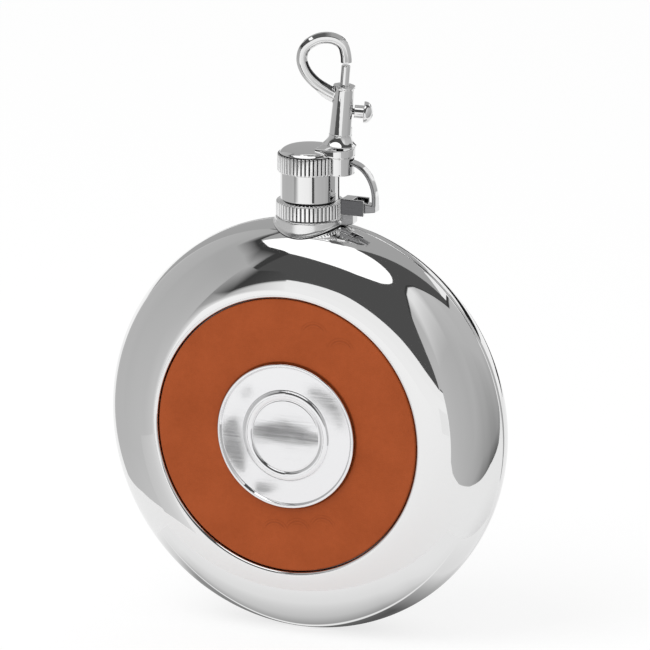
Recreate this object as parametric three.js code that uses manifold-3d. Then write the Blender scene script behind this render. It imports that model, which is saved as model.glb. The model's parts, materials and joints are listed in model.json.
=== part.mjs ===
// Round pocket flask of polished steel: two pressed shells, an inlaid leather ring with a medallion,
// a captive screw cap on a hinged arm, and a swivelling spring hook at the cap's lug.
// Millimetres, +Z up, front towards -Y. The foot flat stands on z = 0, under the middle of the body.
import * as THREE from 'three';
import { mergeVertices } from 'three/addons/utils/BufferGeometryUtils.js';
import Module from 'manifold-3d';

const wasm = await Module();
wasm.setup();

// Clearances
const FIT_GAP = 0.1; // pieces pressed into, or turning in, each other
const SEAT_GAP = 0.3; // pieces cut to the shape of a neighbour
const CUT_MARGIN = 2; // how far a cutting solid runs past the face that it cuts

// Body
const BODY_R = 47.5;
const BODY_HALF_DEPTH = 13.4;
const BODY_WALL = 0.8;
const FOOT_DEPTH = 0.35;
const RECESS_DEPTH = 1.5;

// Leather ring and medallion
const LEATHER_R = 31.4;
const LEATHER_GAP = 0.4;
const LEATHER_THICKNESS = 1.1;
const LEATHER_EDGE = 0.25;
const MEDALLION_R = 16.7;
const MEDALLION_LAP = 0.9;
const MEDALLION_RIM_WIDTH = 0.6;
const MEDALLION_RIM_HEIGHT = 1.0;
const MEDALLION_DISH_HEIGHT = 0.55;
const MEDALLION_DISH_R = 13.2;
const MEDALLION_RIDGE_IN_R = 8.6;
const MEDALLION_RIDGE_WIDTH = 1.6;
const MEDALLION_RIDGE_HEIGHT = 0.95;
const MEDALLION_FIELD_HEIGHT = 0.65;
const MEDALLION_BEVEL = 0.35;
const PAD_GAP = 0.4;

// Neck and its thread
const NECK_BORE_R = 3.9;
const NECK_WALL = 0.7;
const NECK_DIP = 2.0;
const THREAD_PITCH = 0.9;
const THREAD_TURNS = 3;
const THREAD_DEPTH = 0.4;
const THREAD_WIDTH = 0.75;
const THREAD_ROOT_SINK = 0.2;
const THREAD_CLEARANCE = 0.3;
const THREAD_START = 1.9; // above the collar

// Cap, liner and gasket
const LINER_THREAD_DEPTH = 0.35;
const LINER_WALL = 0.35;
const LINER_TOP = 0.9;
const LINER_SETBACK = 1.3;
const GASKET_THICKNESS = 0.9;
const CAP_WALL = 0.54;
const CAP_GAP = 0.2;
const LOWER_BAND_PROUD = 1.01;
const LOWER_BAND_HEIGHT = 3.5;
const WAIST_HEIGHT = 6.85;
const UPPER_BAND_PROUD = 0.73;
const UPPER_BAND_HEIGHT = 4.05;
const BAND_CHAMFER = 0.25;
const KNURL_TEETH = 48;
const KNURL_DEPTH = 0.28;
const WEB_THICKNESS = 0.95;

// Rivet on the cap's axis
const RIVET_R = 0.85;
const RIVET_HEAD_R = 1.7;
const RIVET_HEAD = 0.65;
const RIVET_ROOM = 0.4;
const RIVET_GRIP = 1.8;
const WASHER_R = 2.6;
const WASHER_THICKNESS = 0.4;

// Crown and lug
const CROWN_STEM_R = 2.0;
const CROWN_EDGE = 0.3;
const CROWN_INSET = 0.42;
const DOME_HEIGHT = 1.6;
const LUG_THICKNESS = 1.8;
const LUG_R = 3.6;
const LUG_INSET = 0.17; // hook axis inside the upper band's radius
const LUG_ROOT_X = 2.6;
const KNUCKLE_R = 3.4;
const KNUCKLE_DROP = 4.2; // below the crown's base

// Collar, hinge bracket and pin
const COLLAR_PROUD = 0.18;
const COLLAR_RISE = 0.6;
const BRACKET_GAP = 0.65;
const BRACKET_LENGTH = 5.6;
const BRACKET_WIDTH = 4.1;
const BRACKET_UNDER = 1.4; // bracket below the pin
const CHEEK_THICKNESS = 0.7;
const GUSSET_LENGTH = 4.0;
const GUSSET_FOOT = 1.2;
const PIN_R = 0.6;
const PIN_RISE = 3.2; // above the collar's top
const PIN_INSET = 1.0; // from the bracket's end
const PIN_CAPTURE = 0.4; // how far each end sits in its cheek
const CAP_LIFT = 0.9; // travel of the pin in its slots, one turn of the cap
const SLOT_ROOF = 0.35;

// Captive arm
const ARM_THICKNESS = 0.95;
const ARM_REACH = 3.1; // from the pin to the strap
const ARM_STRAIGHT = 2.2; // straight stretch above the pin
const ARM_TOP_DROP = 1.2; // strap's middle below the cap's top
const ARM_BEND_INSET = 1.1; // bend's start inside the knuckle's end
const ARM_KNUCKLE_R = 1.3;
const ARM_FOOT = 0.7; // foot below the pin
const ARM_SLOT_PLAY = 0.35;
const ARM_PIN_R = 0.55;
const ARM_PIN_COVER = 0.3;
const CHANNEL_PLAY = 0.55;

// Bolt snap, along its own axis from the lug's top
const HOOK_LEAN = THREE.MathUtils.degToRad(4.5);
const HOOK_TURN = THREE.MathUtils.degToRad(23);
const BELL_START = 0.6;
const BELL_HEIGHT = 2.5;
const BELL_R = 3.8;
const BELL_FLOOR = 0.6;
const BELL_WALL = 0.5;
const POST_R = 0.85;
const POST_HEAD_R = 1.6;
const POST_HEAD = 0.7;
const POST_SEAT = 1.3;
const BARREL_FOOT_R = 2.6;
const BARREL_NECK_R = 2.25;
const BARREL_LENGTH = 11.4;
const BARREL_RIM = 0.25;
const BARREL_RIM_HEIGHT = 0.5;
const BARREL_BORE_R = 1.65;
const BARREL_FLOOR = 0.4;
const BARREL_LID = 0.8;
const BOLT_R = 1.05;
const BOLT_TIP = 0.6; // gap from the bolt to the hook's tip
const BOLT_TIP_BEVEL = 0.35;
const BOLT_TRAVEL = 3.0;
const PISTON_HALF = 1.05;
const KNOB_RISE = 5.5; // knob's axis above the barrel's foot
const KNOB_NECK_R = 0.7;
const KNOB_STEM_R = 1.5;
const KNOB_STEM = 2.1;
const KNOB_HEAD_R = 2.45;
const KNOB_HEAD = 2.1;
const KNOB_RIM = 0.35;
const SPRING_WIRE_R = 0.17;
const SPRING_TURNS = 4;
const HOOK_TIP_RISE = 5.25; // hook's tip above the barrel's top
// Middle of the loop's bar, across and up from the barrel's top, before its tip
const LOOP_ROUTE = [
  [-1.6, -2.4], [-4.3, -1.2], [-6.8, 0.3], [-9.0, 2.7], [-10.0, 5.4], [-9.4, 8.1],
  [-6.7, 10.2], [-3.6, 10.6], [-1.2, 9.4], [-0.25, 7.1],
];
const LOOP_BAR = 2.5; // bar across, both ways
const LOOP_BEVEL = 0.65;
const HOOK_WEB = 1.4; // thickness of the web in the loop's crook
const HOOK_WEB_FOOT = 4.2; // web's ends below the barrel's top
const HOOK_WEB_HEAD = 2.2;

// Facets
const BODY_SEGMENTS = 56;
const MEDALLION_SEGMENTS = 40;
const CAP_SEGMENTS = KNURL_TEETH * 2;
const NECK_SEGMENTS = 32;
const SMALL_SEGMENTS = 20;
const PIN_SEGMENTS = 12;
const EDGE_STEPS = 8;
const DOME_STEPS = 6;
const LOOP_STEPS = 36;
const SPRING_STEPS = 12;
const WIRE_HALF_SIDES = 3;
const THREAD_STEPS = 16;

// Radii that follow from the fits, from the neck outwards
const recessR = LEATHER_R + LEATHER_GAP;
const flatR = recessR + BODY_WALL;
const recessFloor = BODY_HALF_DEPTH - RECESS_DEPTH;
const leatherFace = recessFloor + LEATHER_THICKNESS;
const leatherHoleR = MEDALLION_R - MEDALLION_LAP;
const neckR = NECK_BORE_R + NECK_WALL;
const neckCrestR = neckR + THREAD_DEPTH;
const linerCrestR = neckCrestR + THREAD_CLEARANCE;
const linerBoreR = linerCrestR + LINER_THREAD_DEPTH;
const linerR = linerBoreR + LINER_WALL;
const capBoreR = linerR + FIT_GAP;
const waistR = capBoreR + CAP_WALL;
const lowerBandR = waistR + LOWER_BAND_PROUD;
const upperBandR = waistR + UPPER_BAND_PROUD;
const collarR = lowerBandR + COLLAR_PROUD;
const lugX = upperBandR - LUG_INSET;

// Heights above the middle of the body
const collarTop = BODY_R + COLLAR_RISE;
const capFoot = collarTop + CAP_GAP;
const waistFoot = capFoot + LOWER_BAND_HEIGHT;
const webFoot = waistFoot + WAIST_HEIGHT;
const webTop = webFoot + WEB_THICKNESS;
const capTop = webFoot + UPPER_BAND_HEIGHT;
const crownBase = capTop + FIT_GAP;
const lugTop = crownBase + LUG_THICKNESS;
const washerTop = webFoot - FIT_GAP;
const rivetHeadTop = washerTop - WASHER_THICKNESS - FIT_GAP;
const linerTop = rivetHeadTop - RIVET_HEAD - RIVET_ROOM;
const gasketTop = linerTop - LINER_TOP;
const neckTop = gasketTop - GASKET_THICKNESS;

// Hinge places
const bracketStart = lowerBandR + BRACKET_GAP;
const bracketEnd = bracketStart + BRACKET_LENGTH;
const pinX = bracketEnd - PIN_INSET;
const pinZ = collarTop + PIN_RISE;
const bracketFoot = pinZ - BRACKET_UNDER;
const slotHalf = PIN_R + FIT_GAP;
const slotTop = pinZ + CAP_LIFT + slotHalf;
const bracketTop = slotTop + SLOT_ROOF;
const channelHalf = BRACKET_WIDTH / 2 - CHEEK_THICKNESS;
const channelStart = pinX - ARM_KNUCKLE_R - CHANNEL_PLAY;
const armWidth = (channelHalf - FIT_GAP) * 2;
const armX = pinX + ARM_REACH;
const armTop = capTop - ARM_TOP_DROP;
const knuckleStart = upperBandR + SEAT_GAP;
const knuckleEnd = lugX + KNUCKLE_R;
const armPinX = (knuckleStart + knuckleEnd) / 2;

// Bolt snap places along its axis
const bellTop = BELL_START + BELL_HEIGHT;
const bellCavityR = BARREL_FOOT_R - BELL_WALL;
const postHeadFoot = BELL_START + BELL_FLOOR + FIT_GAP;
const spigotFoot = postHeadFoot + POST_HEAD + FIT_GAP;
const springFoot = spigotFoot + BARREL_FLOOR;
const barrelTop = bellTop + BARREL_LENGTH;
const lidFoot = barrelTop - BARREL_LID;
const knobHeight = bellTop + KNOB_RISE;
const pistonFoot = knobHeight - PISTON_HALF;
const pistonTop = knobHeight + PISTON_HALF;
const pistonR = BARREL_BORE_R - FIT_GAP;
const knobSlotHalf = KNOB_NECK_R + FIT_GAP;
const hookTip = barrelTop + HOOK_TIP_RISE;
const boltTop = hookTip - BOLT_TIP;

// Finishes, from the photograph
const POLISHED = { color: 0xd9dbde, roughness: 0.12, metalness: 1 };
const BRUSHED = { color: 0xc9ccd0, roughness: 0.28, metalness: 1 };
const LEATHER = { color: 0xa65028, roughness: 0.6, metalness: 0 };
const NYLON = { color: 0xf0efe8, roughness: 0.5, metalness: 0 };
const SILICONE = { color: 0xd8d4cc, roughness: 0.7, metalness: 0 };
const ADHESIVE = { color: 0x4a4a48, roughness: 0.9, metalness: 0 };

// Solids of revolution: profile points are [radius, height]
function lathe(profile, segments) {
  return new THREE.LatheGeometry(profile.map(([r, h]) => new THREE.Vector2(r, h)), segments);
}

function turned(profile, segments) {
  return lathe(profile, segments).rotateX(Math.PI / 2);
}

function turnedRing(profile, segments) {
  return turned([...profile, profile[0]], segments);
}

function rod(radius, foot, top, segments = PIN_SEGMENTS) {
  return turned([[0, foot], [radius, foot], [radius, top], [0, top]], segments);
}

function ellipseArc(middleR, runR, runH, fromDeg, toDeg, steps) {
  const points = [];
  for (let i = 0; i <= steps; i += 1) {
    const angle = THREE.MathUtils.degToRad(fromDeg + ((toDeg - fromDeg) * i) / steps);
    points.push([middleR + runR * Math.cos(angle), runH * Math.sin(angle)]);
  }
  return points;
}

function raise(profile, height) {
  return profile.map(([r, h]) => [r, h + height]);
}

function box(low, high) {
  const size = high.map((value, axis) => value - low[axis]);
  const middle = high.map((value, axis) => (value + low[axis]) / 2);
  return new THREE.BoxGeometry(...size).translate(...middle);
}

// A plate whose outline lies in the XZ plane, centred on y = 0
function sidePlate(shape, width, curveSegments = 10) {
  const plate = new THREE.ExtrudeGeometry(shape, { depth: width, bevelEnabled: false, curveSegments });
  return plate.rotateX(Math.PI / 2).translate(0, width / 2, 0);
}

// A plate whose outline lies in the XY plane, from one height to another
function flatPlate(shape, foot, top, curveSegments = 10) {
  const plate = new THREE.ExtrudeGeometry(shape, { depth: top - foot, bevelEnabled: false, curveSegments });
  return plate.translate(0, 0, foot);
}

// Closed meshes to solids for joining and cutting, and back
function solidOf(geometry) {
  const bare = new THREE.BufferGeometry();
  bare.setAttribute('position', geometry.getAttribute('position'));
  bare.setIndex(geometry.getIndex());
  const merged = mergeVertices(bare, 1e-4);
  const index = merged.getIndex().array;
  const triVerts = [];
  for (let i = 0; i < index.length; i += 3) {
    const [a, b, c] = index.slice(i, i + 3);
    if (a !== b && b !== c && c !== a) triVerts.push(a, b, c);
  }
  return new wasm.Manifold(new wasm.Mesh({
    numProp: 3,
    vertProperties: new Float32Array(merged.getAttribute('position').array),
    triVerts: new Uint32Array(triVerts),
  }));
}

function geometryOf(solid) {
  const mesh = solid.getMesh();
  const geometry = new THREE.BufferGeometry();
  geometry.setAttribute('position', new THREE.BufferAttribute(new Float32Array(mesh.vertProperties), 3));
  geometry.setIndex(new THREE.BufferAttribute(new Uint32Array(mesh.triVerts), 1));
  geometry.computeVertexNormals();
  return geometry;
}

function join(first, ...others) {
  return others.reduce((solid, other) => solid.add(solidOf(other)), solidOf(first));
}

function cut(solid, ...cutters) {
  return cutters.reduce((rest, cutter) => rest.subtract(solidOf(cutter)), solid);
}

// The shells' rounded edge, or a face at an even depth under it
function edgeArc(depth, fromDeg, toDeg, steps = EDGE_STEPS) {
  return ellipseArc(flatR, BODY_R - depth - flatR, BODY_HALF_DEPTH - depth, fromDeg, toDeg, steps);
}

// The scene: everything is placed from the middle of the body
const flask = new THREE.Group();
const assembly = new THREE.Group();
assembly.position.z = BODY_R - FOOT_DEPTH;
flask.add(assembly);

const hook = new THREE.Group();
hook.position.set(lugX, 0, lugTop);
hook.rotation.set(0, HOOK_LEAN, HOOK_TURN, 'ZYX');
hook.updateMatrix();
assembly.add(hook);

function addPart(group, name, geometry, finish) {
  const mesh = new THREE.Mesh(geometry, new THREE.MeshStandardMaterial(finish));
  mesh.name = name;
  group.add(mesh);
}

// Shells: a pressed half less its cavity, both flattened at the foot, with half of the neck's hole
function belowFoot(footR) {
  const far = BODY_R + CUT_MARGIN;
  return box([-far, -far, -far], [far, far, -footR]);
}

function pressedShell(outline, cavity) {
  const footR = BODY_R - FOOT_DEPTH;
  const hollow = cut(solidOf(lathe(cavity, BODY_SEGMENTS)), belowFoot(footR - BODY_WALL));
  const neckHole = rod(neckR + FIT_GAP, 0, BODY_R + CUT_MARGIN, NECK_SEGMENTS);
  const shell = cut(solidOf(lathe(outline, BODY_SEGMENTS)), belowFoot(footR)).subtract(hollow);
  return geometryOf(cut(shell, neckHole));
}

function frontShell() {
  const recess = [[0, -recessFloor], [recessR, -recessFloor], [recessR, -BODY_HALF_DEPTH]];
  const innerFloor = recessFloor - BODY_WALL;
  const outline = [...recess, ...edgeArc(0, -90, 0), [0, 0]];
  const cavity = [[0, -innerFloor], [flatR, -innerFloor], ...edgeArc(BODY_WALL, -90, 0)];
  cavity.push([BODY_R - BODY_WALL, CUT_MARGIN], [0, CUT_MARGIN]);
  return pressedShell(outline, cavity);
}

function backShell() {
  const outline = [[0, 0], ...edgeArc(0, 0, 90), [0, BODY_HALF_DEPTH]];
  const cavity = [[0, -CUT_MARGIN], [BODY_R - BODY_WALL, -CUT_MARGIN], ...edgeArc(BODY_WALL, 0, 90)];
  cavity.push([0, BODY_HALF_DEPTH - BODY_WALL]);
  return pressedShell(outline, cavity);
}

addPart(assembly, 'front_shell', frontShell(), POLISHED);
addPart(assembly, 'back_shell', backShell(), POLISHED);

// Leather ring in the recess, with eased front edges
function leatherRing() {
  const easedFace = leatherFace - LEATHER_EDGE;
  const profile = [
    [leatherHoleR, -leatherFace],
    [LEATHER_R - LEATHER_EDGE, -leatherFace],
    [LEATHER_R, -easedFace],
    [LEATHER_R, -recessFloor],
    [leatherHoleR, -recessFloor],
  ];
  return lathe([...profile, profile[0]], BODY_SEGMENTS);
}

// Medallion: rim, dished field, raised ring and flat middle, laid on the leather and on its pad
function medallion() {
  const ridgeOutR = MEDALLION_RIDGE_IN_R + MEDALLION_RIDGE_WIDTH;
  const rimInR = MEDALLION_R - MEDALLION_RIM_WIDTH;
  const faces = [
    [0, MEDALLION_FIELD_HEIGHT],
    [MEDALLION_RIDGE_IN_R - MEDALLION_BEVEL, MEDALLION_FIELD_HEIGHT],
    [MEDALLION_RIDGE_IN_R, MEDALLION_RIDGE_HEIGHT],
    [ridgeOutR, MEDALLION_RIDGE_HEIGHT],
    [ridgeOutR + MEDALLION_BEVEL, MEDALLION_FIELD_HEIGHT],
    [MEDALLION_DISH_R, MEDALLION_DISH_HEIGHT],
    [rimInR - MEDALLION_BEVEL, MEDALLION_FIELD_HEIGHT],
    [rimInR, MEDALLION_RIM_HEIGHT],
    [MEDALLION_R, MEDALLION_RIM_HEIGHT],
  ];
  const front = faces.map(([r, height]) => [r, -(leatherFace + height)]);
  return lathe([...front, [MEDALLION_R, -leatherFace], [0, -leatherFace]], MEDALLION_SEGMENTS);
}

function medallionPad() {
  const padR = leatherHoleR - PAD_GAP;
  const profile = [[0, -leatherFace], [padR, -leatherFace], [padR, -recessFloor], [0, -recessFloor]];
  return lathe(profile, MEDALLION_SEGMENTS);
}

addPart(assembly, 'leather_ring', leatherRing(), LEATHER);
addPart(assembly, 'medallion', medallion(), POLISHED);
addPart(assembly, 'medallion_pad', medallionPad(), ADHESIVE);

// A screw thread's ridge, sunk into its wall: outwards on the neck, inwards in the liner
function threadRidge(rootR, crestR, start) {
  const sink = Math.sign(crestR - rootR) * THREAD_ROOT_SINK;
  const section = [[rootR - sink, -THREAD_WIDTH / 2], [crestR, 0], [rootR - sink, THREAD_WIDTH / 2]];
  const steps = THREAD_STEPS * THREAD_TURNS;
  const vertices = [];
  for (let i = 0; i <= steps; i += 1) {
    const turn = i / THREAD_STEPS;
    const angle = turn * 2 * Math.PI;
    for (const [r, h] of section) {
      vertices.push(r * Math.cos(angle), r * Math.sin(angle), start + turn * THREAD_PITCH + h);
    }
  }
  const index = [];
  const sides = section.length;
  const [near, far] = crestR > rootR ? [0, 1] : [1, 0];
  for (let i = 0; i < steps; i += 1) {
    for (let j = 0; j < sides; j += 1) {
      const edge = [j, (j + 1) % sides];
      const [a, b] = [i * sides + edge[near], i * sides + edge[far]];
      index.push(a, a + sides, b, b, a + sides, b + sides);
    }
  }
  const last = steps * sides;
  const caps = [[0, 1, 2], [last + 2, last + 1, last]];
  for (const cap of caps) index.push(...(crestR > rootR ? cap : cap.reverse()));
  const ridge = new THREE.BufferGeometry();
  ridge.setAttribute('position', new THREE.Float32BufferAttribute(vertices, 3));
  ridge.setIndex(index);
  return ridge;
}

// Neck tube through the shells' hole, with its thread below a plain lead
function neckTube() {
  const foot = BODY_R - BODY_WALL - NECK_DIP;
  const wall = [[NECK_BORE_R, foot], [neckR, foot], [neckR, neckTop], [NECK_BORE_R, neckTop]];
  const ridge = threadRidge(neckR, neckCrestR, collarTop + THREAD_START);
  return geometryOf(join(turnedRing(wall, NECK_SEGMENTS), ridge));
}

addPart(assembly, 'neck_tube', neckTube(), BRUSHED);

// Hinge collar: a saddle on the body with a gusset and a forked bracket for the arm
function bracketOutline() {
  const rootX = collarR - CUT_MARGIN;
  const footZ = collarTop - GUSSET_FOOT;
  const outline = new THREE.Shape();
  outline.moveTo(rootX, footZ);
  outline.lineTo(bracketStart, footZ);
  outline.quadraticCurveTo(bracketStart + GUSSET_LENGTH, footZ, bracketStart + GUSSET_LENGTH, bracketFoot);
  outline.lineTo(bracketEnd, bracketFoot);
  outline.lineTo(bracketEnd, bracketTop);
  outline.lineTo(bracketStart, bracketTop);
  outline.lineTo(bracketStart, collarTop);
  outline.lineTo(rootX, collarTop);
  return outline;
}

function hingeCollar() {
  const low = collarTop - collarR;
  const wall = [[neckR + FIT_GAP, low], [collarR, low], [collarR, collarTop], [neckR + FIT_GAP, collarTop]];
  const collar = join(turnedRing(wall, NECK_SEGMENTS), sidePlate(bracketOutline(), BRACKET_WIDTH));
  const seatDepth = BODY_HALF_DEPTH + FIT_GAP;
  const seat = edgeArc(-FIT_GAP, -90, 90, EDGE_STEPS * 2);
  const body = lathe([[0, -seatDepth], ...seat, [0, seatDepth]], BODY_SEGMENTS);
  const channelHigh = [bracketEnd + CUT_MARGIN, channelHalf, bracketTop + CUT_MARGIN];
  const channel = box([channelStart, -channelHalf, low], channelHigh);
  const slotReach = channelHalf + PIN_CAPTURE + FIT_GAP / 2;
  const slots = box([pinX - slotHalf, -slotReach, pinZ - slotHalf], [pinX + slotHalf, slotReach, slotTop]);
  return geometryOf(cut(collar, body, channel, slots));
}

function hingePin() {
  const half = channelHalf + PIN_CAPTURE;
  const profile = [[0, -half], [PIN_R, -half], [PIN_R, half], [0, half]];
  return lathe(profile, PIN_SEGMENTS).translate(pinX, 0, pinZ);
}

addPart(assembly, 'hinge_collar', hingeCollar(), POLISHED);
addPart(assembly, 'hinge_pin', hingePin(), BRUSHED);

// Captive arm: a strap bent over from the lug to the hinge, with an eye at its foot
function armOutline() {
  const half = ARM_THICKNESS / 2;
  const bendZ = pinZ + ARM_STRAIGHT;
  const bendX = knuckleEnd - ARM_BEND_INSET;
  const endX = knuckleStart + ARM_SLOT_PLAY;
  const [runX, runZ] = [armX - bendX, armTop - bendZ];
  const outline = new THREE.Shape();
  outline.moveTo(endX, armTop + half);
  outline.lineTo(bendX, armTop + half);
  outline.absellipse(bendX, bendZ, runX + half, runZ + half, Math.PI / 2, 0, true);
  outline.lineTo(armX + half, pinZ - ARM_FOOT);
  outline.lineTo(pinX, pinZ - ARM_KNUCKLE_R);
  outline.absarc(pinX, pinZ, ARM_KNUCKLE_R, -Math.PI / 2, Math.PI / 2, true);
  outline.lineTo(armX - half, pinZ + ARM_FOOT);
  outline.lineTo(armX - half, bendZ);
  outline.absellipse(bendX, bendZ, runX - half, runZ - half, 0, Math.PI / 2, false);
  outline.lineTo(endX, armTop - half);
  const eye = new THREE.Path();
  eye.absarc(pinX, pinZ, PIN_R + FIT_GAP, 0, 2 * Math.PI, false);
  outline.holes.push(eye);
  return outline;
}

function captiveArm() {
  const arm = solidOf(sidePlate(armOutline(), armWidth, PIN_SEGMENTS));
  const pinHole = rod(ARM_PIN_R + FIT_GAP, armTop - CUT_MARGIN, armTop + CUT_MARGIN);
  return geometryOf(cut(arm, pinHole.translate(armPinX, 0, 0)));
}

function armPin() {
  return rod(ARM_PIN_R, crownBase - KNUCKLE_DROP, lugTop - ARM_PIN_COVER).translate(armPinX, 0, 0);
}

addPart(assembly, 'captive_arm', captiveArm(), POLISHED);
addPart(assembly, 'arm_pin', armPin(), BRUSHED);

// Crown: a dome on the cap with a lug over the hinge side, cut clear of the turning cap
function lugPlan(endR) {
  const plan = new THREE.Shape();
  plan.moveTo(LUG_ROOT_X, -endR);
  plan.absarc(lugX, 0, endR, -Math.PI / 2, Math.PI / 2, false);
  plan.lineTo(LUG_ROOT_X, endR);
  return plan;
}

function capCrown() {
  const domeR = upperBandR - CROWN_INSET;
  const dome = raise(ellipseArc(0, domeR, DOME_HEIGHT, 0, 90, DOME_STEPS), crownBase + CROWN_EDGE);
  const stemFoot = webTop + FIT_GAP;
  const stem = [[0, stemFoot], [CROWN_STEM_R, stemFoot], [CROWN_STEM_R, crownBase], [domeR, crownBase]];
  const lug = flatPlate(lugPlan(LUG_R), crownBase, lugTop);
  const body = join(turned([...stem, ...dome], NECK_SEGMENTS), lug);
  const knuckleFoot = crownBase - KNUCKLE_DROP;
  const knuckle = solidOf(flatPlate(lugPlan(KNUCKLE_R), knuckleFoot, lugTop - LUG_THICKNESS / 2));
  const capRoom = rod(knuckleStart, knuckleFoot - CUT_MARGIN, crownBase, CAP_SEGMENTS);
  const slotHalfHeight = ARM_THICKNESS / 2 + ARM_SLOT_PLAY;
  const armSlot = box(
    [0, -armWidth / 2 - FIT_GAP, armTop - slotHalfHeight],
    [knuckleEnd + CUT_MARGIN, armWidth / 2 + FIT_GAP, Math.min(armTop + slotHalfHeight, crownBase)],
  );
  const pinBore = rod(ARM_PIN_R + FIT_GAP, knuckleFoot - CUT_MARGIN, lugTop - ARM_PIN_COVER + FIT_GAP);
  const rivetBore = rod(RIVET_R + FIT_GAP, webFoot, webTop + RIVET_GRIP + FIT_GAP);
  const postBore = rod(POST_R + FIT_GAP, -POST_SEAT - FIT_GAP, CUT_MARGIN).applyMatrix4(hook.matrix);
  const lower = cut(knuckle, capRoom, armSlot);
  return geometryOf(cut(body.add(lower), pinBore.translate(armPinX, 0, 0), rivetBore, postBore));
}

function capRivet() {
  const foot = rivetHeadTop - RIVET_HEAD;
  const top = webTop + RIVET_GRIP;
  const profile = [[0, foot], [RIVET_HEAD_R, foot], [RIVET_HEAD_R, rivetHeadTop], [RIVET_R, rivetHeadTop]];
  return turned([...profile, [RIVET_R, top], [0, top]], PIN_SEGMENTS);
}

function rivetWasher() {
  const boreR = RIVET_R + FIT_GAP;
  const foot = washerTop - WASHER_THICKNESS;
  const profile = [[boreR, foot], [WASHER_R, foot], [WASHER_R, washerTop], [boreR, washerTop]];
  return turnedRing(profile, SMALL_SEGMENTS);
}

addPart(assembly, 'cap_crown', capCrown(), POLISHED);
addPart(assembly, 'cap_rivet', capRivet(), BRUSHED);
addPart(assembly, 'rivet_washer', rivetWasher(), BRUSHED);

// Cap shell: a reel with two knurled bands and a web for the rivet
function capShell() {
  const profile = [
    [capBoreR, capFoot],
    [lowerBandR - BAND_CHAMFER, capFoot],
    [lowerBandR, capFoot + BAND_CHAMFER],
    [lowerBandR, waistFoot - BAND_CHAMFER],
    [lowerBandR - BAND_CHAMFER, waistFoot],
    [waistR, waistFoot],
    [waistR, webFoot],
    [upperBandR - BAND_CHAMFER, webFoot],
    [upperBandR, webFoot + BAND_CHAMFER],
    [upperBandR, capTop - BAND_CHAMFER],
    [upperBandR - BAND_CHAMFER, capTop],
    [capBoreR, capTop],
    [capBoreR, webTop],
    [RIVET_R + FIT_GAP, webTop],
    [RIVET_R + FIT_GAP, webFoot],
    [capBoreR, webFoot],
  ];
  const shell = turnedRing(profile, CAP_SEGMENTS);
  const position = shell.getAttribute('position');
  const ringSize = profile.length + 1;
  for (let i = 0; i < position.count; i += 1) {
    const [x, y] = [position.getX(i), position.getY(i)];
    const radius = Math.hypot(x, y);
    const inValley = Math.floor(i / ringSize) % 2 === 1;
    const crestR = position.getZ(i) < waistFoot ? lowerBandR : upperBandR;
    if (inValley && radius > crestR - BAND_CHAMFER / 2) {
      const sunk = (radius - KNURL_DEPTH) / radius;
      position.setXY(i, x * sunk, y * sunk);
    }
  }
  return shell;
}

function capLiner() {
  const foot = capFoot + LINER_SETBACK;
  const cup = [[0, gasketTop], [linerBoreR, gasketTop], [linerBoreR, foot], [linerR, foot]];
  const ridge = threadRidge(linerBoreR, linerCrestR, collarTop + THREAD_START + THREAD_PITCH / 2);
  return geometryOf(join(turned([...cup, [linerR, linerTop], [0, linerTop]], NECK_SEGMENTS), ridge));
}

function capGasket() {
  return rod(linerCrestR - FIT_GAP, neckTop, gasketTop, NECK_SEGMENTS);
}

addPart(assembly, 'cap_shell', capShell(), POLISHED);
addPart(assembly, 'cap_liner', capLiner(), NYLON);
addPart(assembly, 'cap_gasket', capGasket(), SILICONE);

// Swivel: a headed post set in the lug, and the bell that turns under its head
function swivelPost() {
  const headTop = postHeadFoot + POST_HEAD;
  const shank = [[0, -POST_SEAT], [POST_R, -POST_SEAT], [POST_R, postHeadFoot], [POST_HEAD_R, postHeadFoot]];
  return turned([...shank, [POST_HEAD_R, headTop], [0, headTop]], PIN_SEGMENTS);
}

function swivelBell() {
  const boreR = POST_R + FIT_GAP;
  const flare = [];
  for (let i = 0; i <= DOME_STEPS; i += 1) {
    const share = i / DOME_STEPS;
    const radius = BARREL_FOOT_R + (BELL_R - BARREL_FOOT_R) * (1 - share) ** 2;
    flare.push([radius, BELL_START + BELL_HEIGHT * share]);
  }
  const floorTop = BELL_START + BELL_FLOOR;
  const cavity = [[bellCavityR, bellTop], [bellCavityR, floorTop], [boreR, floorTop]];
  return turnedRing([[boreR, BELL_START], ...flare, ...cavity], SMALL_SEGMENTS);
}

addPart(hook, 'swivel_post', swivelPost(), BRUSHED);
addPart(hook, 'swivel_bell', swivelBell(), POLISHED);

// Hook: a barrel with a spigot in the bell, a bar bent into a loop that ends over the bolt, and a web
function loopBar() {
  const half = LOOP_BAR / 2;
  const flat = half - LOOP_BEVEL;
  const section = new THREE.Shape([
    [half, -flat], [half, flat], [flat, half], [-flat, half],
    [-half, flat], [-half, -flat], [-flat, -half], [flat, -half],
  ].map(([x, y]) => new THREE.Vector2(x, y)));
  const points = LOOP_ROUTE.map(([x, z]) => new THREE.Vector3(x, 0, barrelTop + z));
  points.push(new THREE.Vector3(0, 0, hookTip));
  const route = new THREE.CatmullRomCurve3(points);
  return new THREE.ExtrudeGeometry(section, { steps: LOOP_STEPS, extrudePath: route });
}

function webOutline() {
  const outline = new THREE.Shape();
  const [innerX, innerZ] = LOOP_ROUTE[2];
  const [outerX, outerZ] = LOOP_ROUTE[3];
  outline.moveTo(-BARREL_NECK_R + FIT_GAP, barrelTop - HOOK_WEB_FOOT);
  outline.quadraticCurveTo(innerX, barrelTop - HOOK_WEB_FOOT + LOOP_BAR / 2, outerX, barrelTop + outerZ);
  outline.lineTo(innerX, barrelTop + innerZ);
  outline.lineTo(-BARREL_NECK_R + FIT_GAP, barrelTop - HOOK_WEB_HEAD);
  return outline;
}

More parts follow.
